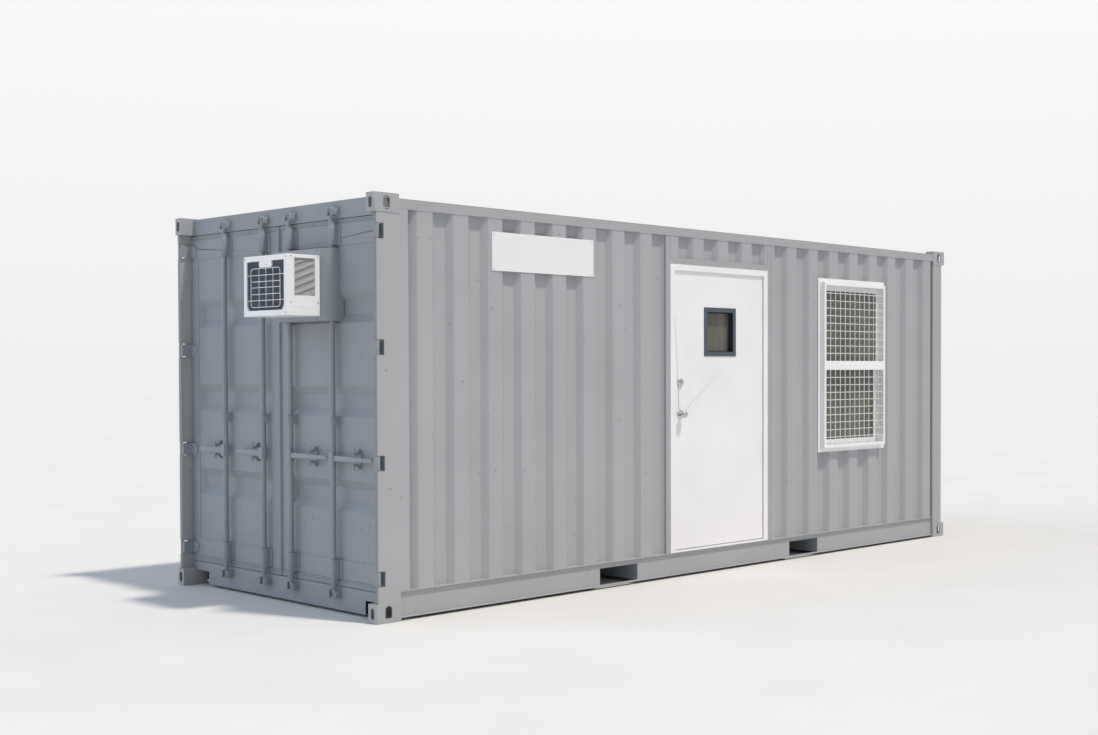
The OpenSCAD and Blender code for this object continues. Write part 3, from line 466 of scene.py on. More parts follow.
def door_post_enamel():
    """The walls' enamel on the posts' sides; their fronts, turned to the cargo end, take the cargo
    end's grey made darker still as painted shade.
    """
    def build(tree):
        parts = sprayed(colours().wall, 0.46)(tree)
        end = sprayed(scaled(colours().end, 0.86), 0.48)(tree)
        # Faces turned to the cargo end are picked by their normal and painted darker: painted shade
        normal = add(tree, "NewGeometry").outputs["True Normal"]
        across = add(tree, "SeparateXYZ", {"Vector": normal})
        front = add(tree, "MapRange", {"Value": across, "From Min": -0.7, "From Max": -0.5,
                                       "To Min": 1.0, "To Max": 0.0})
        mix = add(tree, "Mix", {"Factor": front, 6: parts["Base Color"], 7: end["Base Color"]},
                  data_type="RGBA")
        return {**parts, "Base Color": mix.outputs[2]}
    return finish("alkyd_with_painted_shade_on_posts", build)


def cargo_enamel():
    """Container enamel on the cargo end, washed by rain: a darker, cooler grey than the walls'
    paint, which is painted shade of the shaded end.
    """
    return finish("satin_alkyd_with_painted_shade_on_cargo_doors", sprayed(colours().end, 0.48, share=0.6))


def white_enamel():
    """Powder coat baked on the door and window: smooth, brighter, almost no dust."""
    return finish("white_polyester_powder_coat",
                  sprayed(colours().white, 0.36, "#B8B4AB", 240, 0.1, 0.12, 0.02))


def steel_enamel():
    """Slate powder coat on the vision panel's frame: dark with a soft sheen."""
    return finish("slate_powder_coat", sprayed(colours().steel, 0.38, "#7C8288", 200, 0.1, 0.1))


def sign_coat():
    """Coated aluminium sheet of the sign: very flat and evenly pale."""
    return finish("coated_aluminium_sheet",
                  sprayed(colours().sign, 0.42, "#B4B2AC", 260, 0.1, 0.1, 0.02))


def casing_enamel():
    """Baked enamel on the air conditioner's galvanised casing: clean white, low gloss."""
    return finish("baked_enamel_on_galvanised_casing",
                  sprayed(colours().casing, 0.34, "#B9B2A4", 200, 0.1, 0.15, 0.03))


def louvre_enamel():
    """The same enamel in the side hollows, darkened to a mid grey as painted shade of the hollows.
    """
    return finish("baked_enamel_darkened_as_painted_shade",
                  sprayed(scaled(colours().casing, 0.42), 0.5, "#6E6C68", 60, 0.3, 0.1))


def fin_coat():
    """Blue-grey epoxy on aluminium fins: a dark comb with a dull sheen."""
    def build(tree):
        tone = add(tree, "ValToRGB", {"Fac": grain(tree, 60, 3)},
                   [(0.3, scaled(colours().fins, 0.8)), (0.7, scaled(colours().fins, 1.15))])
        return {"Base Color": tone, "Roughness": uneven(tree, grain(tree, 25), 0.5, 0.65)}
    return finish("epoxy_coated_fins", build)


def seal_rubber():
    """Extruded EPDM rubber painted over with the doors: matt, slightly chalky."""
    def build(tree):
        cloud = grain(tree, 80, 4)
        tone = add(tree, "ValToRGB", {"Fac": cloud},
                   [(0.3, scaled(colours().seal, 0.9)), (0.7, scaled(colours().seal, 1.08))])
        return {"Base Color": tone, "Roughness": uneven(tree, cloud, 0.62, 0.78),
                "Normal": relief(tree, [(grain(tree, 6, 2), 0.12)])}
    return finish("painted_epdm_rubber", build)


def black_rubber():
    """Extruded glazing rubber: near black and matt."""
    def build(tree):
        tone = add(tree, "ValToRGB", {"Fac": grain(tree, 30)}, [(0.3, "#1B1C1D"), (0.7, "#2A2B2C")])
        return {"Base Color": tone, "Roughness": uneven(tree, grain(tree, 9), 0.6, 0.75)}
    return finish("glazing_rubber", build)


def satin_chrome():
    """Satin chrome on turned brass: bright, with a fine mottle of blur."""
    def build(tree):
        tone = add(tree, "ValToRGB", {"Fac": grain(tree, 7)}, [(0.3, "#B9BABB"), (0.7, "#D6D7D8")])
        return {"Base Color": tone, "Roughness": uneven(tree, grain(tree, 2.5), 0.18, 0.3),
                "Normal": relief(tree, [(grain(tree, 1.2, 2), 0.02)])}
    return finish("satin_chromed_brass", build, Metallic=1.0)


def zinc_wire():
    """Galvanised wire with a white dip: pale, faintly mottled."""
    def build(tree):
        tone = add(tree, "ValToRGB", {"Fac": grain(tree, 18)}, [(0.3, "#D2D4D5"), (0.7, "#EEEFEF")])
        return {"Base Color": tone, "Roughness": uneven(tree, grain(tree, 6), 0.34, 0.5)}
    return finish("white_dipped_wire", build)


def float_glass():
    """Tinted float glass with a film of dust, in slow upright clouds: its mostly diffuse olive tone
    is partly the glass's tint and partly painted shade of the dim room behind it.
    """
    def build(tree):
        film = grain(tree, 240, 4, (1, 1, 0.35))
        # The olive tone paints in the dim room seen through the glass: painted shade
        tone = add(tree, "ValToRGB", {"Fac": film}, [(0.3, "#67655A"), (0.7, "#838177")])
        return {"Base Color": tone, "Roughness": uneven(tree, film, 0.03, 0.1)}
    return finish("tinted_float_glass", build, IOR=1.52, Transmission_Weight=0.25)


def phenolic_floor():
    """Keruing plywood under phenol resin: brown plies with long grain, worn by feet."""
    def build(tree):
        # Growth rings show every 12 mm and run along the sheet
        rings = grain(tree, 12, 5, (0.06, 1, 1))
        wood = colours().floor
        tone = add(tree, "ValToRGB", {"Fac": rings},
                   [(0.25, scaled(wood, 0.6)), (0.5, wood), (0.75, scaled(wood, 1.25))])
        worn = add(tree, "MapRange", {"Value": grain(tree, 300, 4), "From Min": 0.5,
                                      "From Max": 0.75, "To Max": 0.35})
        tone = add(tree, "Mix", {"Factor": worn, 6: tone, 7: "#6E6456"}, data_type="RGBA")
        return {"Base Color": tone.outputs[2], "Normal": relief(tree, [(rings, 0.3)]),
                "Roughness": uneven(tree, grain(tree, 50), 0.45, 0.65)}
    return finish("phenolic_plywood", build)


def lining_board():
    """Melamine faced board: pale beige with a faint print of grain."""
    def build(tree):
        # The printed grain is 9 mm wide and runs up the board
        figure = grain(tree, 9, 4, (1, 1, 0.05))
        tone = add(tree, "ValToRGB", {"Fac": figure},
                   [(0.3, scaled(colours().lining, 0.93)), (0.7, scaled(colours().lining, 1.04))])
        return {"Base Color": tone, "Roughness": uneven(tree, grain(tree, 40), 0.4, 0.52),
                "Normal": relief(tree, [(figure, 0.05)])}
    return finish("melamine_faced_board", build)


def studio_floor():
    """Matt pale paper: nearly even, so that it only takes the shadow."""
    def build(tree):
        tone = add(tree, "ValToRGB", {"Fac": grain(tree, 900, 2)},
                   [(0.3, "#D9D8D6"), (0.7, "#DDDCDA")])
        return {"Base Color": tone, "Roughness": uneven(tree, grain(tree, 400), 0.8, 0.9)}
    return finish("matt_pale_paper", build)


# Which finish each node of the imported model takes
NODE_FINISHES = {
    door_post_enamel: ("door_posts",),
    post_enamel: ("corner_castings", "blind_end_posts", "bottom_side_rails",
                  "top_side_rails", "doorway_surround", "blind_end_rails", "roof_panel"),
    wall_enamel: ("rear_wall", "blind_end_wall", "front_wall_left", "front_wall_over_door",
                  "front_wall_right"),
    cargo_enamel: ("ac_housing", "door_header", "door_sill", "cam_keepers", "left_leaf_frame",
                   "left_leaf_panel", "left_leaf_guides", "right_leaf_frame", "right_leaf_panel",
                   "right_leaf_guides", "cross_members", "forklift_pockets", *RODS),
    white_enamel: ("door_frame", "door_leaf", "window_frame", "window_sashes"),
    steel_enamel: ("vision_frame",),
    sign_coat: ("sign_board",),
    casing_enamel: ("air_conditioner", "ac_indoor_fascia"),
    seal_rubber: ("left_leaf_seal", "right_leaf_seal"),
    satin_chrome: ("lock_trim", "door_knob", "door_hinges", "door_hinge_leaves"),
    float_glass: ("window_glass", "vision_glass"),
    phenolic_floor: ("floor",),
    lining_board: ("front_lining_left", "front_lining_over_door", "front_lining_right",
                   "rear_lining", "blind_end_lining", "ceiling"),
}

# Nodes of plate or section whose edges are a little round
SOFT_EDGED = {
    "corner_castings": 1.2, "door_posts": 2.5, "blind_end_posts": 4.0, "bottom_side_rails": 1.5,
    "top_side_rails": 2.5, "doorway_surround": 2.0, "door_header": 2.5, "door_sill": 2.0,
    "left_leaf_frame": 2.0, "right_leaf_frame": 2.0, "door_frame": 1.5, "door_leaf": 1.5,
    "window_frame": 1.5, "window_sashes": 1.5, "vision_frame": 1.2, "sign_board": 1.0,
    "blind_end_rails": 2.0, "ac_indoor_fascia": 4.0,
}


# ---------------------------------------------------------------- operators

class CABIN_OT_finishes(bpy.types.Operator):
    """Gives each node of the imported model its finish, and eases the edges of plate"""
    bl_idname = "cabin.finishes"
    bl_label = "Finishes"
    bl_options = {"REGISTER", "UNDO"}

    def execute(self, context):
        for give, names in NODE_FINISHES.items():
            for name in names:
                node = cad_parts[name]
                if not node.data.materials:
                    node.data.materials.append(give())
                for slot in node.material_slots:
                    slot.material = give()
        for name, width in SOFT_EDGED.items():
            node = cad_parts[name]
            weld = node.modifiers.new("join", "WELD")
            weld.merge_threshold = 0.00002
            soft = node.modifiers.new("ease", "BEVEL")
            soft.width, soft.segments = width * MM, 2
            soft.limit_method, soft.angle_limit = "ANGLE", math.radians(40)
            soft.use_clamp_overlap = False
        return {"FINISHED"}


def fold_line(start, end, phase, depth, cuts=()):
    """Points (place, depth) of a corrugated section with round folds."""
    s = sizes("cabin_sheets")
    corners = []
    k = math.floor((start - phase) / s["pitch"]) - 1
    while phase + k * s["pitch"] < end + s["pitch"]:
        base = phase + k * s["pitch"]
        corners += [(base, 0.0), (base + s["crest"], 0.0), (base + s["crest"] + s["slope"], depth),
                    (base + s["pitch"] - s["slope"], depth)]
        k += 1
    line = [tuple(p) for p in rounded(corners, s["fold"], 4)]

    def at(x):
        for (xa, da), (xb, db) in zip(line, line[1:]):
            if xa <= x <= xb:
                return da + (db - da) * (x - xa) / max(xb - xa, 1e-6)
        raise ValueError("the place lies outside the corrugated line")

    inner = [p for p in line if start + 0.5 < p[0] < end - 0.5
             and all(abs(p[0] - c) > 0.5 for c in cuts)]
    return sorted(inner + [(x, at(x)) for x in (start, end, *cuts)])


def wall_plans():
    """Start, end, phase, depth, foot, top, hole and map of each corrugated sheet."""
    s = sizes("cabin_sheets")
    left, _ = span("front_wall_left")
    box_low, box_high = span("window_sashes")
    plans = {}
    for name in ("front_wall_left", "front_wall_over_door", "front_wall_right", "rear_wall"):
        low, high = span(name)
        side = 1 if name == "rear_wall" else -1
        face = high.y if side > 0 else low.y
        depth = high.y - low.y - s["thickness"]
        hole = None
        if name == "front_wall_right":
            hole = (box_low.x, box_high.x, box_low.z, box_high.z)
        plans[name] = (low.x, high.x, left.x + s["first"], depth, low.z, high.z, hole,
                       lambda u, d, z, face=face, side=side: (u, face - side * d, z))
    low, high = span("blind_end_wall")
    depth = high.x - low.x - s["thickness"]
    plans["blind_end_wall"] = (low.y, high.y, -s["crest"] / 2, depth, low.z, high.z, None,
                               lambda u, d, z, face=high.x: (face - d, u, z))
    return plans


class CABIN_OT_corrugated_sheets(bpy.types.Operator):
    """Presses the five corrugated wall sheets, with round folds"""
    bl_idname = "cabin.corrugated_sheets"
    bl_label = "Corrugated sheets"
    bl_options = {"REGISTER", "UNDO"}

    def execute(self, context):
        s = sizes("cabin_sheets")
        for name, (start, end, phase, depth, low, high, hole, at) in wall_plans().items():
            line = fold_line(start, end, phase, depth, hole[:2] if hole else ())
            zs = sorted((low, high, *(hole[2:] if hole else ())))
            shape = Shape()
            grid = [[shape.mesh.verts.new(Vector(at(u, d, z)) * MM) for u, d in line]
                    for z in zs]
            for j in range(len(zs) - 1):
                for i in range(len(line) - 1):
                    u, z = (line[i][0] + line[i + 1][0]) / 2, (zs[j] + zs[j + 1]) / 2
                    if hole and hole[0] < u < hole[1] and hole[2] < z < hole[3]:
                        continue
                    shape.mesh.faces.new((grid[j][i], grid[j][i + 1], grid[j + 1][i + 1],
                                          grid[j + 1][i]))
            stray = [v for v in shape.mesh.verts if not v.link_faces]
            bmesh.ops.delete(shape.mesh, geom=stray, context="VERTS")
            made = shape.piece(name + "_sheet", wall_enamel(), CABIN, "wall_paint", name)
            # The sheet thickens towards the inside, whichever way its faces look
            middle = Vector((0, 0, 1.3))
            face = made.data.polygons[0]
            outward = face.normal.dot(face.center - middle) > 0
            gauge = made.modifiers.new("gauge", "SOLIDIFY")
            gauge.thickness = s["thickness"] * MM
            gauge.offset = -1.0 if outward else 1.0
            gauge.use_even_offset = True
        return {"FINISHED"}


class CABIN_OT_weld_beads(bpy.types.Operator):
    """Runs weld beads along the sheets, posts, castings and door surround"""
    bl_idname = "cabin.weld_beads"
    bl_label = "Weld beads"
    bl_options = {"REGISTER", "UNDO"}

    def run(self, shape, path, seed, step=9.0):
        """A bead along a path, with a new ripple every few millimetres."""
        points = []
        for a, b in zip(path, path[1:]):
            a, b = Vector(a), Vector(b)
            count = max(int((b - a).length / step), 1)
            points += [a.lerp(b, i / count) for i in range(count)]
        points.append(Vector(path[-1]))
        shape.tube(points, sizes("cabin_sheets")["bead"], 6, jitter=0.16, seed=seed)

    def execute(self, context):
        shape = Shape()
        for seed, (name, plan) in enumerate(wall_plans().items()):
            start, end, phase, depth, low, high, _hole, at = plan
            line = fold_line(start, end, phase, depth)
            for z in (low + 1, high - 1):
                if name == "front_wall_over_door" and z < high - 2:
                    continue
                self.run(shape, [at(u, d, z) for u, d in line], seed)
            for u, d in (line[0], line[-1]):
                self.run(shape, [at(u, d, low), at(u, d, high)], seed + 9)
        door_low, door_high = span("door_posts")
        blind_low, blind_high = span("blind_end_posts")
        rail_low, rail_high = span("bottom_side_rails")
        cast_low, _ = span("corner_castings")
        for side in (-1, 1):
            y = side * abs(door_low.y)
            for z in (door_low.z, door_high.z):
                self.run(shape, [(cast_low.x + 20, y, z), (cast_low.x + 176, y, z)], 31)
            for z in (blind_low.z, blind_high.z):
                self.run(shape, [(blind_low.x + 2, y, z), (blind_high.x - 2, y, z)], 37)
            # The bottom rails' ends, from just above their feet to just under the castings' tops
            y = side * RAIL_WEB_Y
            foot, top = rail_low.z + 4, cast_low.z + CASTING_HEIGHT - 2
            for x in (rail_low.x, rail_high.x):
                self.run(shape, [(x, y, foot), (x, y, top)], 41)
        shape.piece("weld_beads", post_enamel(), CABIN, "wall_paint")
        return {"FINISHED"}


class CABIN_OT_lock_rods(bpy.types.Operator):
    """Makes the four lock rods with hooked cams, collars and handle bars"""
    bl_idname = "cabin.lock_rods"
    bl_label = "Lock rods"
    bl_options = {"REGISTER", "UNDO"}

    def execute(self, context):
        s = sizes("cabin_ironwork")
        for name in RODS:
            low, high = span(name)
            axis_x = -span("corner_castings")[1].x + s["rod_x"]
            left = name.startswith("left")
            turn = 1 if left else -1
            y = low.y + CAM_RADIUS + 0.5 if left else high.y - CAM_RADIUS - 0.5
            reach = (high.y - y) if left else (y - low.y)
            at = facing("up", (axis_x, y, 0))
            shape = Shape()
            r = s["rod"]
            foot, top = low.z + 66, high.z - 66
            shape.turned([(9, low.z + 3), (9, foot), (r - 3, foot + 2), (r, foot + 6),
                          (r, top - 6), (r - 3, top - 2), (9, top), (9, high.z - 3)], at)
            # A cam is a flat hook that curls back on itself
            hook = rounded([(-7, 0), (9, 0), (18.5, 9), (18.5, 47), (9, 56), (-11, 56), (-18.5, 48),
                            (-18.5, 36), (-10, 36), (-8, 45), (6, 45), (8, 40), (8, 16), (4, 11),
                            (-7, 11)], 4, 3, closed=True)
            for z in (low.z, high.z - CAM_HEIGHT):
                shape.prism([(turn * p[0], p[1]) for p in hook], -6, 6,
                            facing("cargo", (axis_x, y, z)), 1.5)
            # The collar on the rod, the handle's root block and its bar
            z = HANDLE_Z
            shape.turned([(r + 1, z - 42), (r + 4, z - 39), (r + 4, z + 39), (r + 1, z + 42)], at)
            plan = facing("cargo", (axis_x, y, z))
            root = [(turn * u, v) for u, v in oblong((-18, -38), (28, 38), 6)]
            shape.prism(root, 4, 21.5, plan, 2.5)
            h = s["handle"] / 2
            bar = rounded([(24, -h), (reach * 0.45, -h), (reach * 0.6, -h * 0.8),
                           (reach, -h * 0.72), (reach, h * 0.72), (reach * 0.6, h * 0.8),
                           (reach * 0.45, h), (24, h)], 11, 4, closed=True)
            shape.prism([(turn * p[0], p[1]) for p in bar], 7, 16, plan, 2.5)
            shape.bolt(lambda a, b, c, p=plan, t=turn: p(t * 8 + a, b, c + 21), s["bolt"] * 0.8, 4)
            shape.piece(name + "_bar", cargo_enamel(), name, "cargo_paint", name)
        return {"FINISHED"}


class CABIN_OT_guides(bpy.types.Operator):
    """Bolts the rods' guides and the handles' catches to the leaves"""
    bl_idname = "cabin.guides"
    bl_label = "Guides and catches"
    bl_options = {"REGISTER", "UNDO"}

    def guide(self, shape, x, y, z, height, foot, face):
        """A strap bent round a rod, with a foot on each side."""
        s = sizes("cabin_ironwork")
        inner, outer = s["rod"] + 0.6, s["rod"] + s["strap"]
        back = face - s["strap"]
        turns = [math.radians(90 + 180 * i / 14) for i in range(15)]
        arc = [(x + outer * math.cos(t), y - outer * math.sin(t)) for t in turns]
        bore = [(x + inner * math.cos(t), y - inner * math.sin(t)) for t in turns]
        edge = [(face, y - outer - foot), (back, y - outer - foot)]
        outline = edge + [(back, y - outer)] + arc + [(back, y + outer)]
        outline += [(back, y + outer + foot), (face, y + outer + foot), (face, y + inner)]
        outline += bore[::-1] + [(face, y - inner)]
        shape.prism(outline, z, z + height, facing("up"), 0.8)
        if foot > 12:
            for side in (-1, 1):
                for up in (0.2, 0.8):
                    place = (back, y + side * (outer + foot / 2 + 2), z + up * height)
                    shape.bolt(facing("cargo", place), s["bolt"] * 0.85, 5)

    def catch(self, shape, y, z, face):
        """A pointed back plate with one hook above and one below the bar."""
        plate = rounded([(0, -67), (9, -48), (12, -20), (12, 20), (9, 48), (0, 67), (-9, 48),
                         (-12, 20), (-12, -20), (-9, -48)], 8, 3, closed=True)
        shape.prism(plate, 0.5, 6, facing("cargo", (face, y, z)), 1.5)
        for side in (-1, 1):
            hook = rounded([(0, 64), (0, 33), (20, 29), (34, 23), (47, 22), (55, 28), (57, 44),
                            (50, 64), (42, 67), (46, 48), (42, 38), (30, 42), (16, 60)],
                           6, 3, closed=True)
            at = facing("rear", (face - 5, y, z))
            shape.prism([(-p[0], side * p[1]) for p in hook], -5, 5, at, 2)
        shape.bolt(facing("cargo", (face - 5.5, y, z + 0.1)), 6, 4)

    def execute(self, context):
        s = sizes("cabin_ironwork")
        axis_x = -span("corner_castings")[1].x + s["rod_x"]
        height = 124
        for body, name, rods, catches in (
                (LEFT, "left_leaf_guides", (INNER_ROD, OUTER_ROD), LEFT_CATCHES),
                (RIGHT, "right_leaf_guides", (-INNER_ROD, -OUTER_ROD), RIGHT_CATCHES)):
            low, high = span(name)
            face = span(body.replace("_cargo", "") + "_seal")[0].x
            shape = Shape()
            for y, catch in zip(rods, catches):
                self.guide(shape, axis_x, y, low.z, height, s["foot"], face)
                self.guide(shape, axis_x, y, high.z - height, height, s["foot"], face)
                self.guide(shape, axis_x, y, MIDDLE_GUIDE_Z, 48, 6, face + 4)
                self.catch(shape, catch, HANDLE_Z, face + 4)
            shape.piece(name.replace("leaf_guides", "guides_and_catches"), cargo_enamel(), body,
                        "cargo_paint", name)
        return {"FINISHED"}


class CABIN_OT_keepers(bpy.types.Operator):
    """Welds the hooked cam keepers to the header and the sill"""
    bl_idname = "cabin.keepers"
    bl_label = "Cam keepers"
    bl_options = {"REGISTER", "UNDO"}

    def execute(self, context):
        low, high = span("cam_keepers")
        plate_x = span("door_header")[0].x
        shape = Shape()
        for y in (-OUTER_ROD, -INNER_ROD, INNER_ROD, OUTER_ROD):
            for z in (low.z - 2, high.z - 54):
                back = facing("cargo", (plate_x, y, z))
                shape.prism(oblong((-40, 0), (40, 60), 8), 0.0, 5, back, 1.5)
                # The L-shaped lug hooks round the cam, and the other lug is straight
                plan = facing("up", (plate_x, y, z))
                lug = rounded([(29, 4), (37, 4), (39, 46), (22, 52), (20, 45), (30, 38)],
                              2.5, 2, closed=True)
                shape.prism([(-p[1], p[0]) for p in lug], 5, 55, plan, 2)
                lug = rounded([(29, 4), (37, 4), (37, 40), (29, 42)], 3, 2, closed=True)
                shape.prism([(-p[1], -p[0]) for p in lug], 7, 50, plan, 2)
        shape.piece("hooked_keepers", cargo_enamel(), CABIN, "cargo_paint", "cam_keepers")
        return {"FINISHED"}


class CABIN_OT_seals(bpy.types.Operator):
    """Fits the lipped rubber seal round each cargo leaf"""
    bl_idname = "cabin.seals"
    bl_label = "Door seals"
    bl_options = {"REGISTER", "UNDO"}

    def execute(self, context):
        s = sizes("cabin_ironwork")
        for body, name in ((LEFT, "left_leaf_seal"), (RIGHT, "right_leaf_seal")):
            low, high = span(name)
            leaf_low, leaf_high = span(name.replace("seal", "frame"))
            meeting = 15
            outer = high.y - LEAF_EDGE if body == LEFT else -LEAF_EDGE - low.y
            left, right = (meeting, outer) if body == LEFT else (outer, meeting)
            widths = (left, leaf_low.z - low.z, right, high.z - leaf_high.z)
            # Two lips with a valley, from the outer edge to the leaf's steel
            profile = [(0.0, 18), (-0.1, 8), (-0.1, 2), (-0.04, -1), (0.08, -3), (0.24, -4),
                       (0.4, -3), (0.5, 0), (0.58, -1), (0.72, -3), (0.88, -3), (0.97, -1),
                       (1.0, 3), (1.0, 18)]
            shape = Shape()
            shape.frame((low.y, low.z), (high.y, high.z),
                        [(tuple(a * w for w in widths), -x * s["seal"] / 3) for a, x in profile],
                        facing("cargo", (low.x, 0, 0)), 8)
            shape.piece(name.replace("leaf_seal", "lip_seal"), seal_rubber(), body,
                        "seal_rubber", name)
        return {"FINISHED"}


class CABIN_OT_hinge_pins(bpy.types.Operator):
    """Adds the pin heads of the cargo hinges"""
    bl_idname = "cabin.hinge_pins"
    bl_label = "Hinge pins"
    bl_options = {"REGISTER", "UNDO"}

    def execute(self, context):
        heads = Shape()
        for y in (HINGE_Y, -HINGE_Y):
            for i in range(4):
                z = LOWEST_HINGE + i * (HIGHEST_HINGE - LOWEST_HINGE) / 3
                for side in (-1, 1):
                    at = facing("up", (HINGE_X, y, z + side * HINGE_HALF))
                    heads.turned([(10.5, 0), (10.5, side * 2), (8, side * 3.6),
                                  (3, side * 4.4)], at, 20)
        heads.piece("pin_heads", cargo_enamel(), CABIN, "cargo_paint")
        return {"FINISHED"}


class CABIN_OT_air_conditioner(bpy.types.Operator):
    """Builds the air conditioner's casing, fins, louvres and wire guard"""
    bl_idname = "cabin.air_conditioner"
    bl_label = "Air conditioner"
    bl_options = {"REGISTER", "UNDO"}

    def execute(self, context):
        s = sizes("cabin_unit")
        low, high = span("air_conditioner")
        # The upper part of the casing is one step narrower on each side than the tray it stands in
        step, deep = 3.0, 13.0
        low.x += step
        grille = (low.y + 41, high.y - 41, low.z + 35, high.z - 33)
        side_x = (low.x + 49, low.x + 193)
        side_z = (low.z + 123, high.z - 21)
        centre = (low.y + high.y) / 2
        sides = (("front", -1, low.y + step), ("rear", 1, high.y - step))

        def plan(narrow, front, hollows):
            """Outline of the casing from above, with its hollows."""
            y0, y1 = low.y + narrow, high.y - narrow
            points = [(high.x, y0)]
            if hollows:
                points += [(side_x[1], y0), (side_x[1], y0 + deep), (side_x[0], y0 + deep),
                           (side_x[0], y0)]
            points += [p[:2] for p in rounded([(low.x + s["edge"] + 2, y0), (low.x, y0),
                                               (low.x, y0 + s["edge"] + 2)], s["edge"], 5)]
            if front:
                points += [(low.x, grille[0]), (low.x + s["recess"], grille[0]),
                           (low.x + s["recess"], grille[1]), (low.x, grille[1])]
            points += [p[:2] for p in rounded([(low.x, y1 - s["edge"] - 2), (low.x, y1),
                                               (low.x + s["edge"] + 2, y1)], s["edge"], 5)]
            if hollows:
                points += [(side_x[0], y1), (side_x[0], y1 - deep), (side_x[1], y1 - deep),
                           (side_x[1], y1)]
            return points + [(high.x, y1)]

        case = Shape()
        up = facing("up")
        split = low.z + 58
        # Storeys of the casing from the bottom up: lowest and highest place, how much narrower,
        # and whether the grille and the side hollows cut into them
        storeys = ((low.z, grille[2], 0, False, False), (grille[2], split, 0, True, False),
                   (split, side_z[0], step, True, False), (side_z[0], grille[3], step, True, True),
                   (grille[3], side_z[1], step, False, True),
                   (side_z[1], high.z - 3, step, False, False))
        for bottom, top, narrow, has_front, has_sides in storeys:
            case.prism(plan(narrow, has_front, has_sides), bottom, top, up)
        lid = shrunk(plan(step, False, False), 0.01)
        case.skin([[up(u, v, w) for u, v in line] for line, w in
                   ((lid, high.z - 3), (shrunk(lid, 0.9), high.z - 0.9), (shrunk(lid, 3), high.z))])
        front = facing("cargo", (low.x + s["recess"], 0, 0))
        # Clipped lower corners of the grille, and the tab that hangs from its top
        for y, way in ((grille[0], 1), (grille[1], -1)):
            case.prism([(y - way, grille[2] - 1), (y + way * 27, grille[2] - 1),
                        (y + way * 12, grille[2] + 12), (y - way, grille[2] + 37)],
                       -1, s["recess"], front)
        half, top, foot = 74, grille[3] + 1, grille[3] - 40
        tab = rounded([(centre - half, top), (centre - half, foot), (centre + half, foot),
                       (centre + half, top)], 15, 5, closed=True)
        case.prism(tab, -1, s["recess"] - 1.5, front, 1.2)
        case.piece("unit_casing", casing_enamel(), RIGHT, "ac_casing", "air_conditioner")

        fins = Shape()
        back = low.x + s["recess"]
        fins.block((back - 1.2, grille[0] + 0.5, grille[2] + 0.5),
                   (back, grille[1] - 0.5, grille[3] - 0.5), 0.2, 0.2)
        y = grille[0] + 5
        while y < grille[1] - 4:
            fins.prism([(low.x + 7, y), (back - 1, y), (back - 1, y + 1.6), (low.x + 7, y + 1.6)],
                       grille[2] + 2, grille[3] - 2, up)
            y += s["fin"]
        louvres = Shape()
        rise, pitch, holes = 58, 46.5, 9
        for side, out, y in sides:
            at = facing(side, (0, y - out * deep, 0))
            louvres.prism(oblong((side_x[0] - 0.5, side_z[0] - 0.5),
                                 (side_x[1] + 0.5, side_z[1] + 0.5)), -0.5, 3, at)
            z = side_z[0] - rise + 10
            while z < side_z[1]:
                # A rib is cut off where it meets the hollow's edge
                t0 = max((side_z[0] + 2 - z) / rise, 0)
                t1 = min((side_z[1] - 22 - z) / rise, 1)
                if t1 - t0 > 0.08:
                    ends = [(side_x[0] + (side_x[1] - side_x[0]) * t, z + rise * t)
                            for t in (t0, t1)]
                    louvres.skin([[at(x, h, 3), at(x, h + 3, 8.5), at(x, h + 7, 9),
                                   at(x, h + 21, 3)] for x, h in ends])
                # A row of holes runs under each rib, drawn as dark discs: painted shade inside the
                # holes
                for k in range(holes):
                    t = (k + 0.5) / holes
                    x, h = side_x[0] + (side_x[1] - side_x[0]) * t, z + rise * t - 8
                    if side_z[0] + 4 < h < side_z[1] - 4:
                        fins.turned([(2.9, 2.5), (2.9, 3.4)],
                                    lambda a, b, c, at=at, x=x, h=h: at(x + a, h + b, c), 8)
                z += pitch
            for i in range(14):
                dot = facing(side, (low.x + 18 + i * 14, y, split - 4))
                fins.turned([(1.8, -0.5), (1.8, step + 0.3)], dot, 8)
        # The hollows and their ribs wear the enamel darkened as painted shade
        louvres.piece("side_louvres", louvre_enamel(), RIGHT, "ac_casing")
        fins.piece("cooling_fins", fin_coat(), RIGHT, "dark_paint")

        guard = Shape()
        wire = s["wire"]
        x = low.x + wire + 0.4
        y0, y1, z0, z1 = low.y + 89.5, high.y - 89.5, low.z + 56, high.z - 78
        loop = rounded([(y0, z0), (y1, z0), (y1, z1), (y0, z1)], 26, 5, closed=True)
        guard.tube([(x, p[0], p[1]) for p in loop], wire, 8, closed=True)
        for y in (y0 + 90, y0 + 172.5, y0 + 255):
            guard.tube([(x + 2 * wire, y, z0), (x + 2 * wire, y, z1)], wire, 8)
        for z in GUARD_WIRES:
            # The outermost level wires reach the casing and hold the guard
            wide = z in (GUARD_WIRES[0], GUARD_WIRES[-1])
            a, b = (grille[0] + 1, grille[1] - 1) if wide else (y0, y1)
            guard.tube([(x + wire, a, z), (x + wire, b, z)], wire, 8)
        guard.piece("wire_guard", zinc_wire(), RIGHT, "ac_casing")

        screws = Shape()
        # One in the tab, four in the corners of the face and four in each side
        screws.screw(facing("cargo", (low.x + 1.5, centre - 14, grille[3] - 24)), 4.2)
        for z in (low.z + 18, high.z - 16):
            for y in (low.y + 20, high.y - 20):
                screws.screw(facing("cargo", (low.x, y, z)), 4.2)
        for side, _out, y in sides:
            for x in (low.x + 24, high.x - 14):
                for z in (low.z + 80, high.z - 12):
                    screws.screw(facing(side, (x, y, z)), 4)
        house_low, house_high = span("ac_housing")
        for y in (house_low.y + 95, house_high.y - 14):
            for z in (house_low.z + 14, house_high.z - 14):
                screws.screw(facing("cargo", (house_low.x, y, z)), 5)
        screws.piece("casing_screws", fin_coat(), RIGHT, "dark_paint")
        return {"FINISHED"}


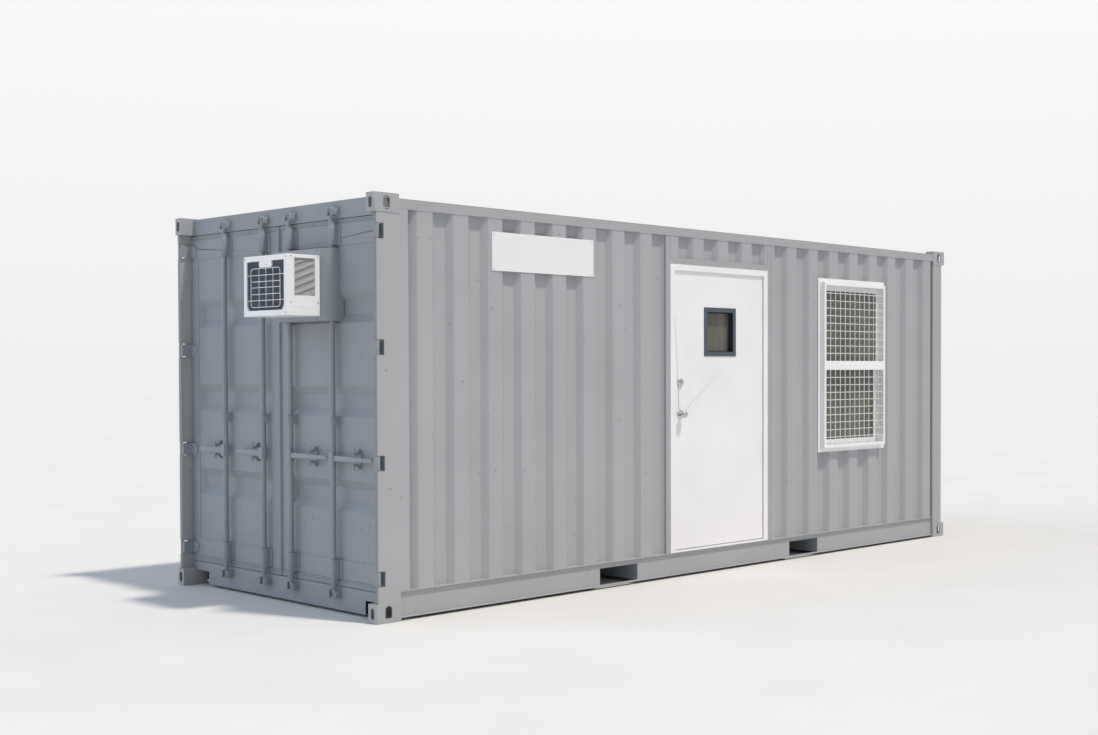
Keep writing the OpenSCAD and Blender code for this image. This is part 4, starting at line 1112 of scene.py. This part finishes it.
class CABIN_OT_window_screen(bpy.types.Operator):
    """Welds the wire screen in the window's box and fits the glazing rubbers"""
    bl_idname = "cabin.window_screen"
    bl_label = "Window screen"
    bl_options = {"REGISTER", "UNDO"}

    def execute(self, context):
        s = sizes("cabin_window")
        flange_low, _ = span("window_frame")
        box_low, box_high = span("window_sashes")
        left, right = box_low.x, box_high.x
        front = flange_low.y + 10
        middle, half = WINDOW_RAIL_Z, WINDOW_RAIL_HALF
        wires = Shape()
        columns = round((right - left) / s["mesh"])
        for z0, z1 in ((box_low.z, middle - half), (middle + half, box_high.z)):
            rows = round((z1 - z0) / s["mesh"])
            for i in range(1, columns):
                x = left + (right - left) * i / columns
                wires.tube([(x, front, z0 - 3), (x, front, z1 + 3)], s["wire"], 8)
            for i in range(1, rows):
                z = z0 + (z1 - z0) * i / rows
                y = front + 1.7 * s["wire"]
                wires.tube([(left - 3, y, z), (right + 3, y, z)], s["wire"], 8)
        wires.piece("window_wires", zinc_wire(), CABIN, "white_paint")

        rubber = Shape()
        g = s["gasket"]
        glass_low, glass_high = span("window_glass")
        profile = [(0, 0), (0, 4), (g * 0.3, 5), (g, 1.5), (g, 0)]
        # The lower sash stands one sash's depth behind the upper one
        meeting_rail, sash_depth = 42, 17
        for z0, z1, face in ((middle + meeting_rail / 2, glass_high.z, glass_low.y),
                             (glass_low.z, middle - meeting_rail / 2, glass_low.y + sash_depth)):
            rubber.frame((glass_low.x, z0), (glass_high.x, z1), profile,
                         facing("front", (0, face, 0)))
        rubber.piece("window_rubbers", black_rubber(), CABIN, "seal_rubber")
        pane_low, pane_high = span("vision_glass")
        lite = Shape()
        # The liner runs from the pane to just behind the frame's face: a glazing bead at the pane,
        # and a black lining up the reveal as painted shade
        reveal = pane_low.y - span("vision_frame")[0].y - 1.5
        liner = [(0, 0), (0, reveal), (1.6, reveal), (2.4, 6), (g, 2), (g, 0)]
        lite.frame((pane_low.x, pane_low.z), (pane_high.x, pane_high.z), liner,
                   facing("front", (0, pane_low.y, 0)))
        lite.piece("vision_rubber", black_rubber(), DOOR, "seal_rubber")
        return {"FINISHED"}


class CABIN_OT_locks(bpy.types.Operator):
    """Turns the door's roses, deadbolt and knobs"""
    bl_idname = "cabin.locks"
    bl_label = "Door locks"
    bl_options = {"REGISTER", "UNDO"}

    def execute(self, context):
        low, high = span("lock_trim")
        leaf_low, leaf_high = span("door_leaf")
        knob_low, knob_high = span("door_knob")
        x = (low.x + high.x) / 2
        knob_z = (knob_low.z + knob_high.z) / 2
        bolt_z = high.z - (knob_z - low.z)
        roses, knobs, slots = Shape(), Shape(), Shape()
        for side, face in (("front", leaf_low.y), ("rear", leaf_high.y)):
            at = facing(side, (x, face, knob_z))
            roses.turned([(31, 0), (31, 2.4), (29.5, 4.6), (26, 6), (19, 6.6), (17.5, 6.9)], at, 48)
            reach = (leaf_low.y - knob_low.y) if side == "front" else (knob_high.y - leaf_high.y)
            knobs.turned([(10, -2), (10, 7.3), (12.5, 8), (14, 9.5), (13.4, 17), (15, 23),
                          (20.5, 29), (24.6, 36), (26, 43), (25.4, 51), (22.6, 57.5),
                          (18, reach - 2), (10, reach - 0.6), (3, reach)], at, 48)
            bolt = facing(side, (x, face, bolt_z))
            roses.turned([(31, 0), (31, 3), (29.4, 7.5), (26.2, 11.8), (23, 13.4), (16, 14),
                          (15.4, 15.4), (14.4, 20), (12.6, 21)], bolt, 48)
            # The keyway is a thin black plate on the deadbolt's face: painted shade of the slot
            slots.prism(oblong((-1.3, -6), (1.3, 6), 1.2), 20.6, 21.25, bolt)
        roses.piece("rose_and_deadbolt", satin_chrome(), DOOR, "lock_metal", "lock_trim")
        slots.piece("key_slot", black_rubber(), DOOR, "dark_paint")
        knobs.piece("turned_knobs", satin_chrome(), KNOB, "lock_metal", "door_knob")
        return {"FINISHED"}


class CABIN_OT_fixings(bpy.types.Operator):
    """Fixes the sign, and lays the joint strips and skirting of the lining"""
    bl_idname = "cabin.fixings"
    bl_label = "Sign screws and lining strips"
    bl_options = {"REGISTER", "UNDO"}

    def execute(self, context):
        low, high = span("sign_board")
        screws = Shape()
        for x in (low.x + 16, high.x - 16):
            for z in (low.z + 16, high.z - 16):
                screws.screw(facing("front", (x, low.y, z)), 6.5)
        win_low, win_high = span("window_frame")
        for x in (win_low.x + 17, win_high.x - 17):
            for i in range(5):
                z = win_low.z + 40 + i * (win_high.z - win_low.z - 80) / 4
                screws.screw(facing("front", (x, low.y - 1, z)), 4.5)
        screws.piece("sign_screws", zinc_wire(), CABIN, "lock_metal")

        strips = Shape()
        back_low, back_high = span("rear_lining")
        top = span("ceiling")[0].z
        front_y = span("front_lining_right")[1].y
        door_low, door_high = span("door_frame")
        # Strips cover the boards' joints, and clear the door and the window
        margin, half, spacing = 20, 12, 1200
        blocked = ((door_low.x, door_high.x), (win_low.x, win_high.x))
        foot, skirting_end = back_low.z + 62, back_high.x - 46
        x = back_low.x + spacing / 2
        while x < back_high.x - 200:
            strips.block((x - half, back_low.y - 3, foot), (x + half, back_low.y, top), 0.8, 0.8)
            if not any(a - margin < x < b + margin for a, b in blocked):
                strips.block((x - half, front_y, foot), (x + half, front_y + 3, top), 0.8, 0.8)
            x += spacing
        strips.block((back_low.x, back_low.y - 9, back_low.z),
                     (skirting_end, back_low.y, back_low.z + 60), 2, 1)
        for a, b in ((back_low.x, door_low.x), (door_high.x, skirting_end)):
            strips.block((a, front_y, back_low.z), (b, front_y + 9, back_low.z + 60), 2, 1)
        strips.piece("lining_strips", lining_board(), CABIN, "lining_board")
        return {"FINISHED"}


class CABIN_OT_studio(bpy.types.Operator):
    """Sets the pale floor, the soft light and the camera"""
    bl_idname = "cabin.studio"
    bl_label = "Studio"
    bl_options = {"REGISTER", "UNDO"}

    def execute(self, context):
        scene = bpy.context.scene
        floor = Shape()
        far, drop = 60000, 1
        floor.mesh.faces.new([floor.mesh.verts.new(Vector((x * far, y * far, -drop)) * MM)
                              for x, y in ((-1, -1), (1, -1), (1, 1), (-1, 1))])
        data = bpy.data.meshes.new("studio_floor")
        floor.mesh.to_mesh(data)
        floor.mesh.free()
        data.materials.append(studio_floor())
        ground = bpy.data.objects.new("studio_floor", data)
        scene.collection.objects.link(ground)

        scene.world = bpy.data.worlds.new("studio")
        scene.world.use_nodes = True
        tree = scene.world.node_tree
        tree.nodes.clear()
        where = add(tree, "TexCoord").outputs["Generated"]
        height = add(tree, "SeparateXYZ", {"Vector": where}).outputs["Z"]
        rise = add(tree, "MapRange", {"Value": height, "From Min": -0.2, "From Max": 1.0})
        sky = add(tree, "ValToRGB", {"Fac": rise},
                  [(0.0, "#F4F2EE"), (0.25, "#F3F5F8"), (1.0, "#C9D8EE")])
        light = add(tree, "Background", {"Color": sky, "Strength": SKY})
        rise = add(tree, "MapRange", {"Value": height, "From Min": 0.0, "From Max": 0.3})
        paper = add(tree, "ValToRGB", {"Fac": rise}, [(0.0, HORIZON), (1.0, "#FBFBFB")])
        plain = add(tree, "Background", {"Color": paper, "Strength": 1.0})
        # The plain backdrop is what is seen, and the sky is what lights the object
        seen = add(tree, "LightPath").outputs["Is Camera Ray"]
        mixed = add(tree, "MixShader", {0: seen, 1: light, 2: plain})
        add(tree, "OutputWorld", {"Surface": mixed})

        # The fill is a broad cool window of light on the cargo end, from the left and above
        for name, strength, size, tint, way in (("key", SUN, 4, "#FFF6EA", SUN_WAY),
                                                ("soft", FILL, 50, "#CFE0F8", FILL_WAY)):
            lamp = bpy.data.lights.new(name, "SUN")
            lamp.energy, lamp.angle, lamp.color = strength, math.radians(size), linear(tint)
            lit_by = bpy.data.objects.new(name, lamp)
            lit_by.rotation_euler = Vector(way).to_track_quat("-Z", "Y").to_euler()
            scene.collection.objects.link(lit_by)

        lens = bpy.data.cameras.new("camera")
        lens.lens, lens.sensor_width, lens.clip_end = 46.9, 36, 400
        lens.shift_x, lens.shift_y = -0.1953, 0.0276
        camera = bpy.data.objects.new("camera", lens)
        level = math.cos(CAMERA_PITCH)
        ahead = Vector((level * math.cos(CAMERA_YAW), level * math.sin(CAMERA_YAW),
                        math.sin(CAMERA_PITCH)))
        right = Vector((math.sin(CAMERA_YAW), -math.cos(CAMERA_YAW), 0))
        turn = Matrix((right, right.cross(ahead), -ahead)).transposed().to_4x4()
        camera.matrix_world = Matrix.Translation(CAMERA_PLACE) @ turn
        scene.collection.objects.link(camera)
        scene.camera = camera
        scene.view_settings.view_transform = "Standard"
        return {"FINISHED"}


OPERATORS = (CABIN_OT_finishes, CABIN_OT_corrugated_sheets, CABIN_OT_weld_beads, CABIN_OT_lock_rods,
             CABIN_OT_guides, CABIN_OT_keepers, CABIN_OT_seals, CABIN_OT_hinge_pins,
             CABIN_OT_air_conditioner, CABIN_OT_window_screen, CABIN_OT_locks, CABIN_OT_fixings,
             CABIN_OT_studio)


class CABIN_PT_panel(bpy.types.Panel):
    """Lists the sizes, the colours and the operators"""
    bl_idname = "CABIN_PT_panel"
    bl_label = "Container cabin"
    bl_space_type = "VIEW_3D"
    bl_region_type = "UI"
    bl_category = "Cabin"

    def draw(self, context):
        for group, kind in GROUPS.items():
            box = self.layout.box()
            for key in kind.__annotations__:
                box.prop(getattr(context.scene, group), key)
        for kind in OPERATORS:
            self.layout.operator(kind.bl_idname)


def register():
    for kind in (*GROUPS.values(), *OPERATORS, CABIN_PT_panel):
        bpy.utils.register_class(kind)
    for name, kind in GROUPS.items():
        setattr(bpy.types.Scene, name, PointerProperty(type=kind))


def unregister():
    for name in GROUPS:
        delattr(bpy.types.Scene, name)
    for kind in (CABIN_PT_panel, *reversed(OPERATORS), *reversed(GROUPS.values())):
        bpy.utils.unregister_class(kind)


def main():
    register()
    for kind in OPERATORS:
        group, name = kind.bl_idname.split(".")
        getattr(getattr(bpy.ops, group), name)()


if __name__ == "__main__":
    main()
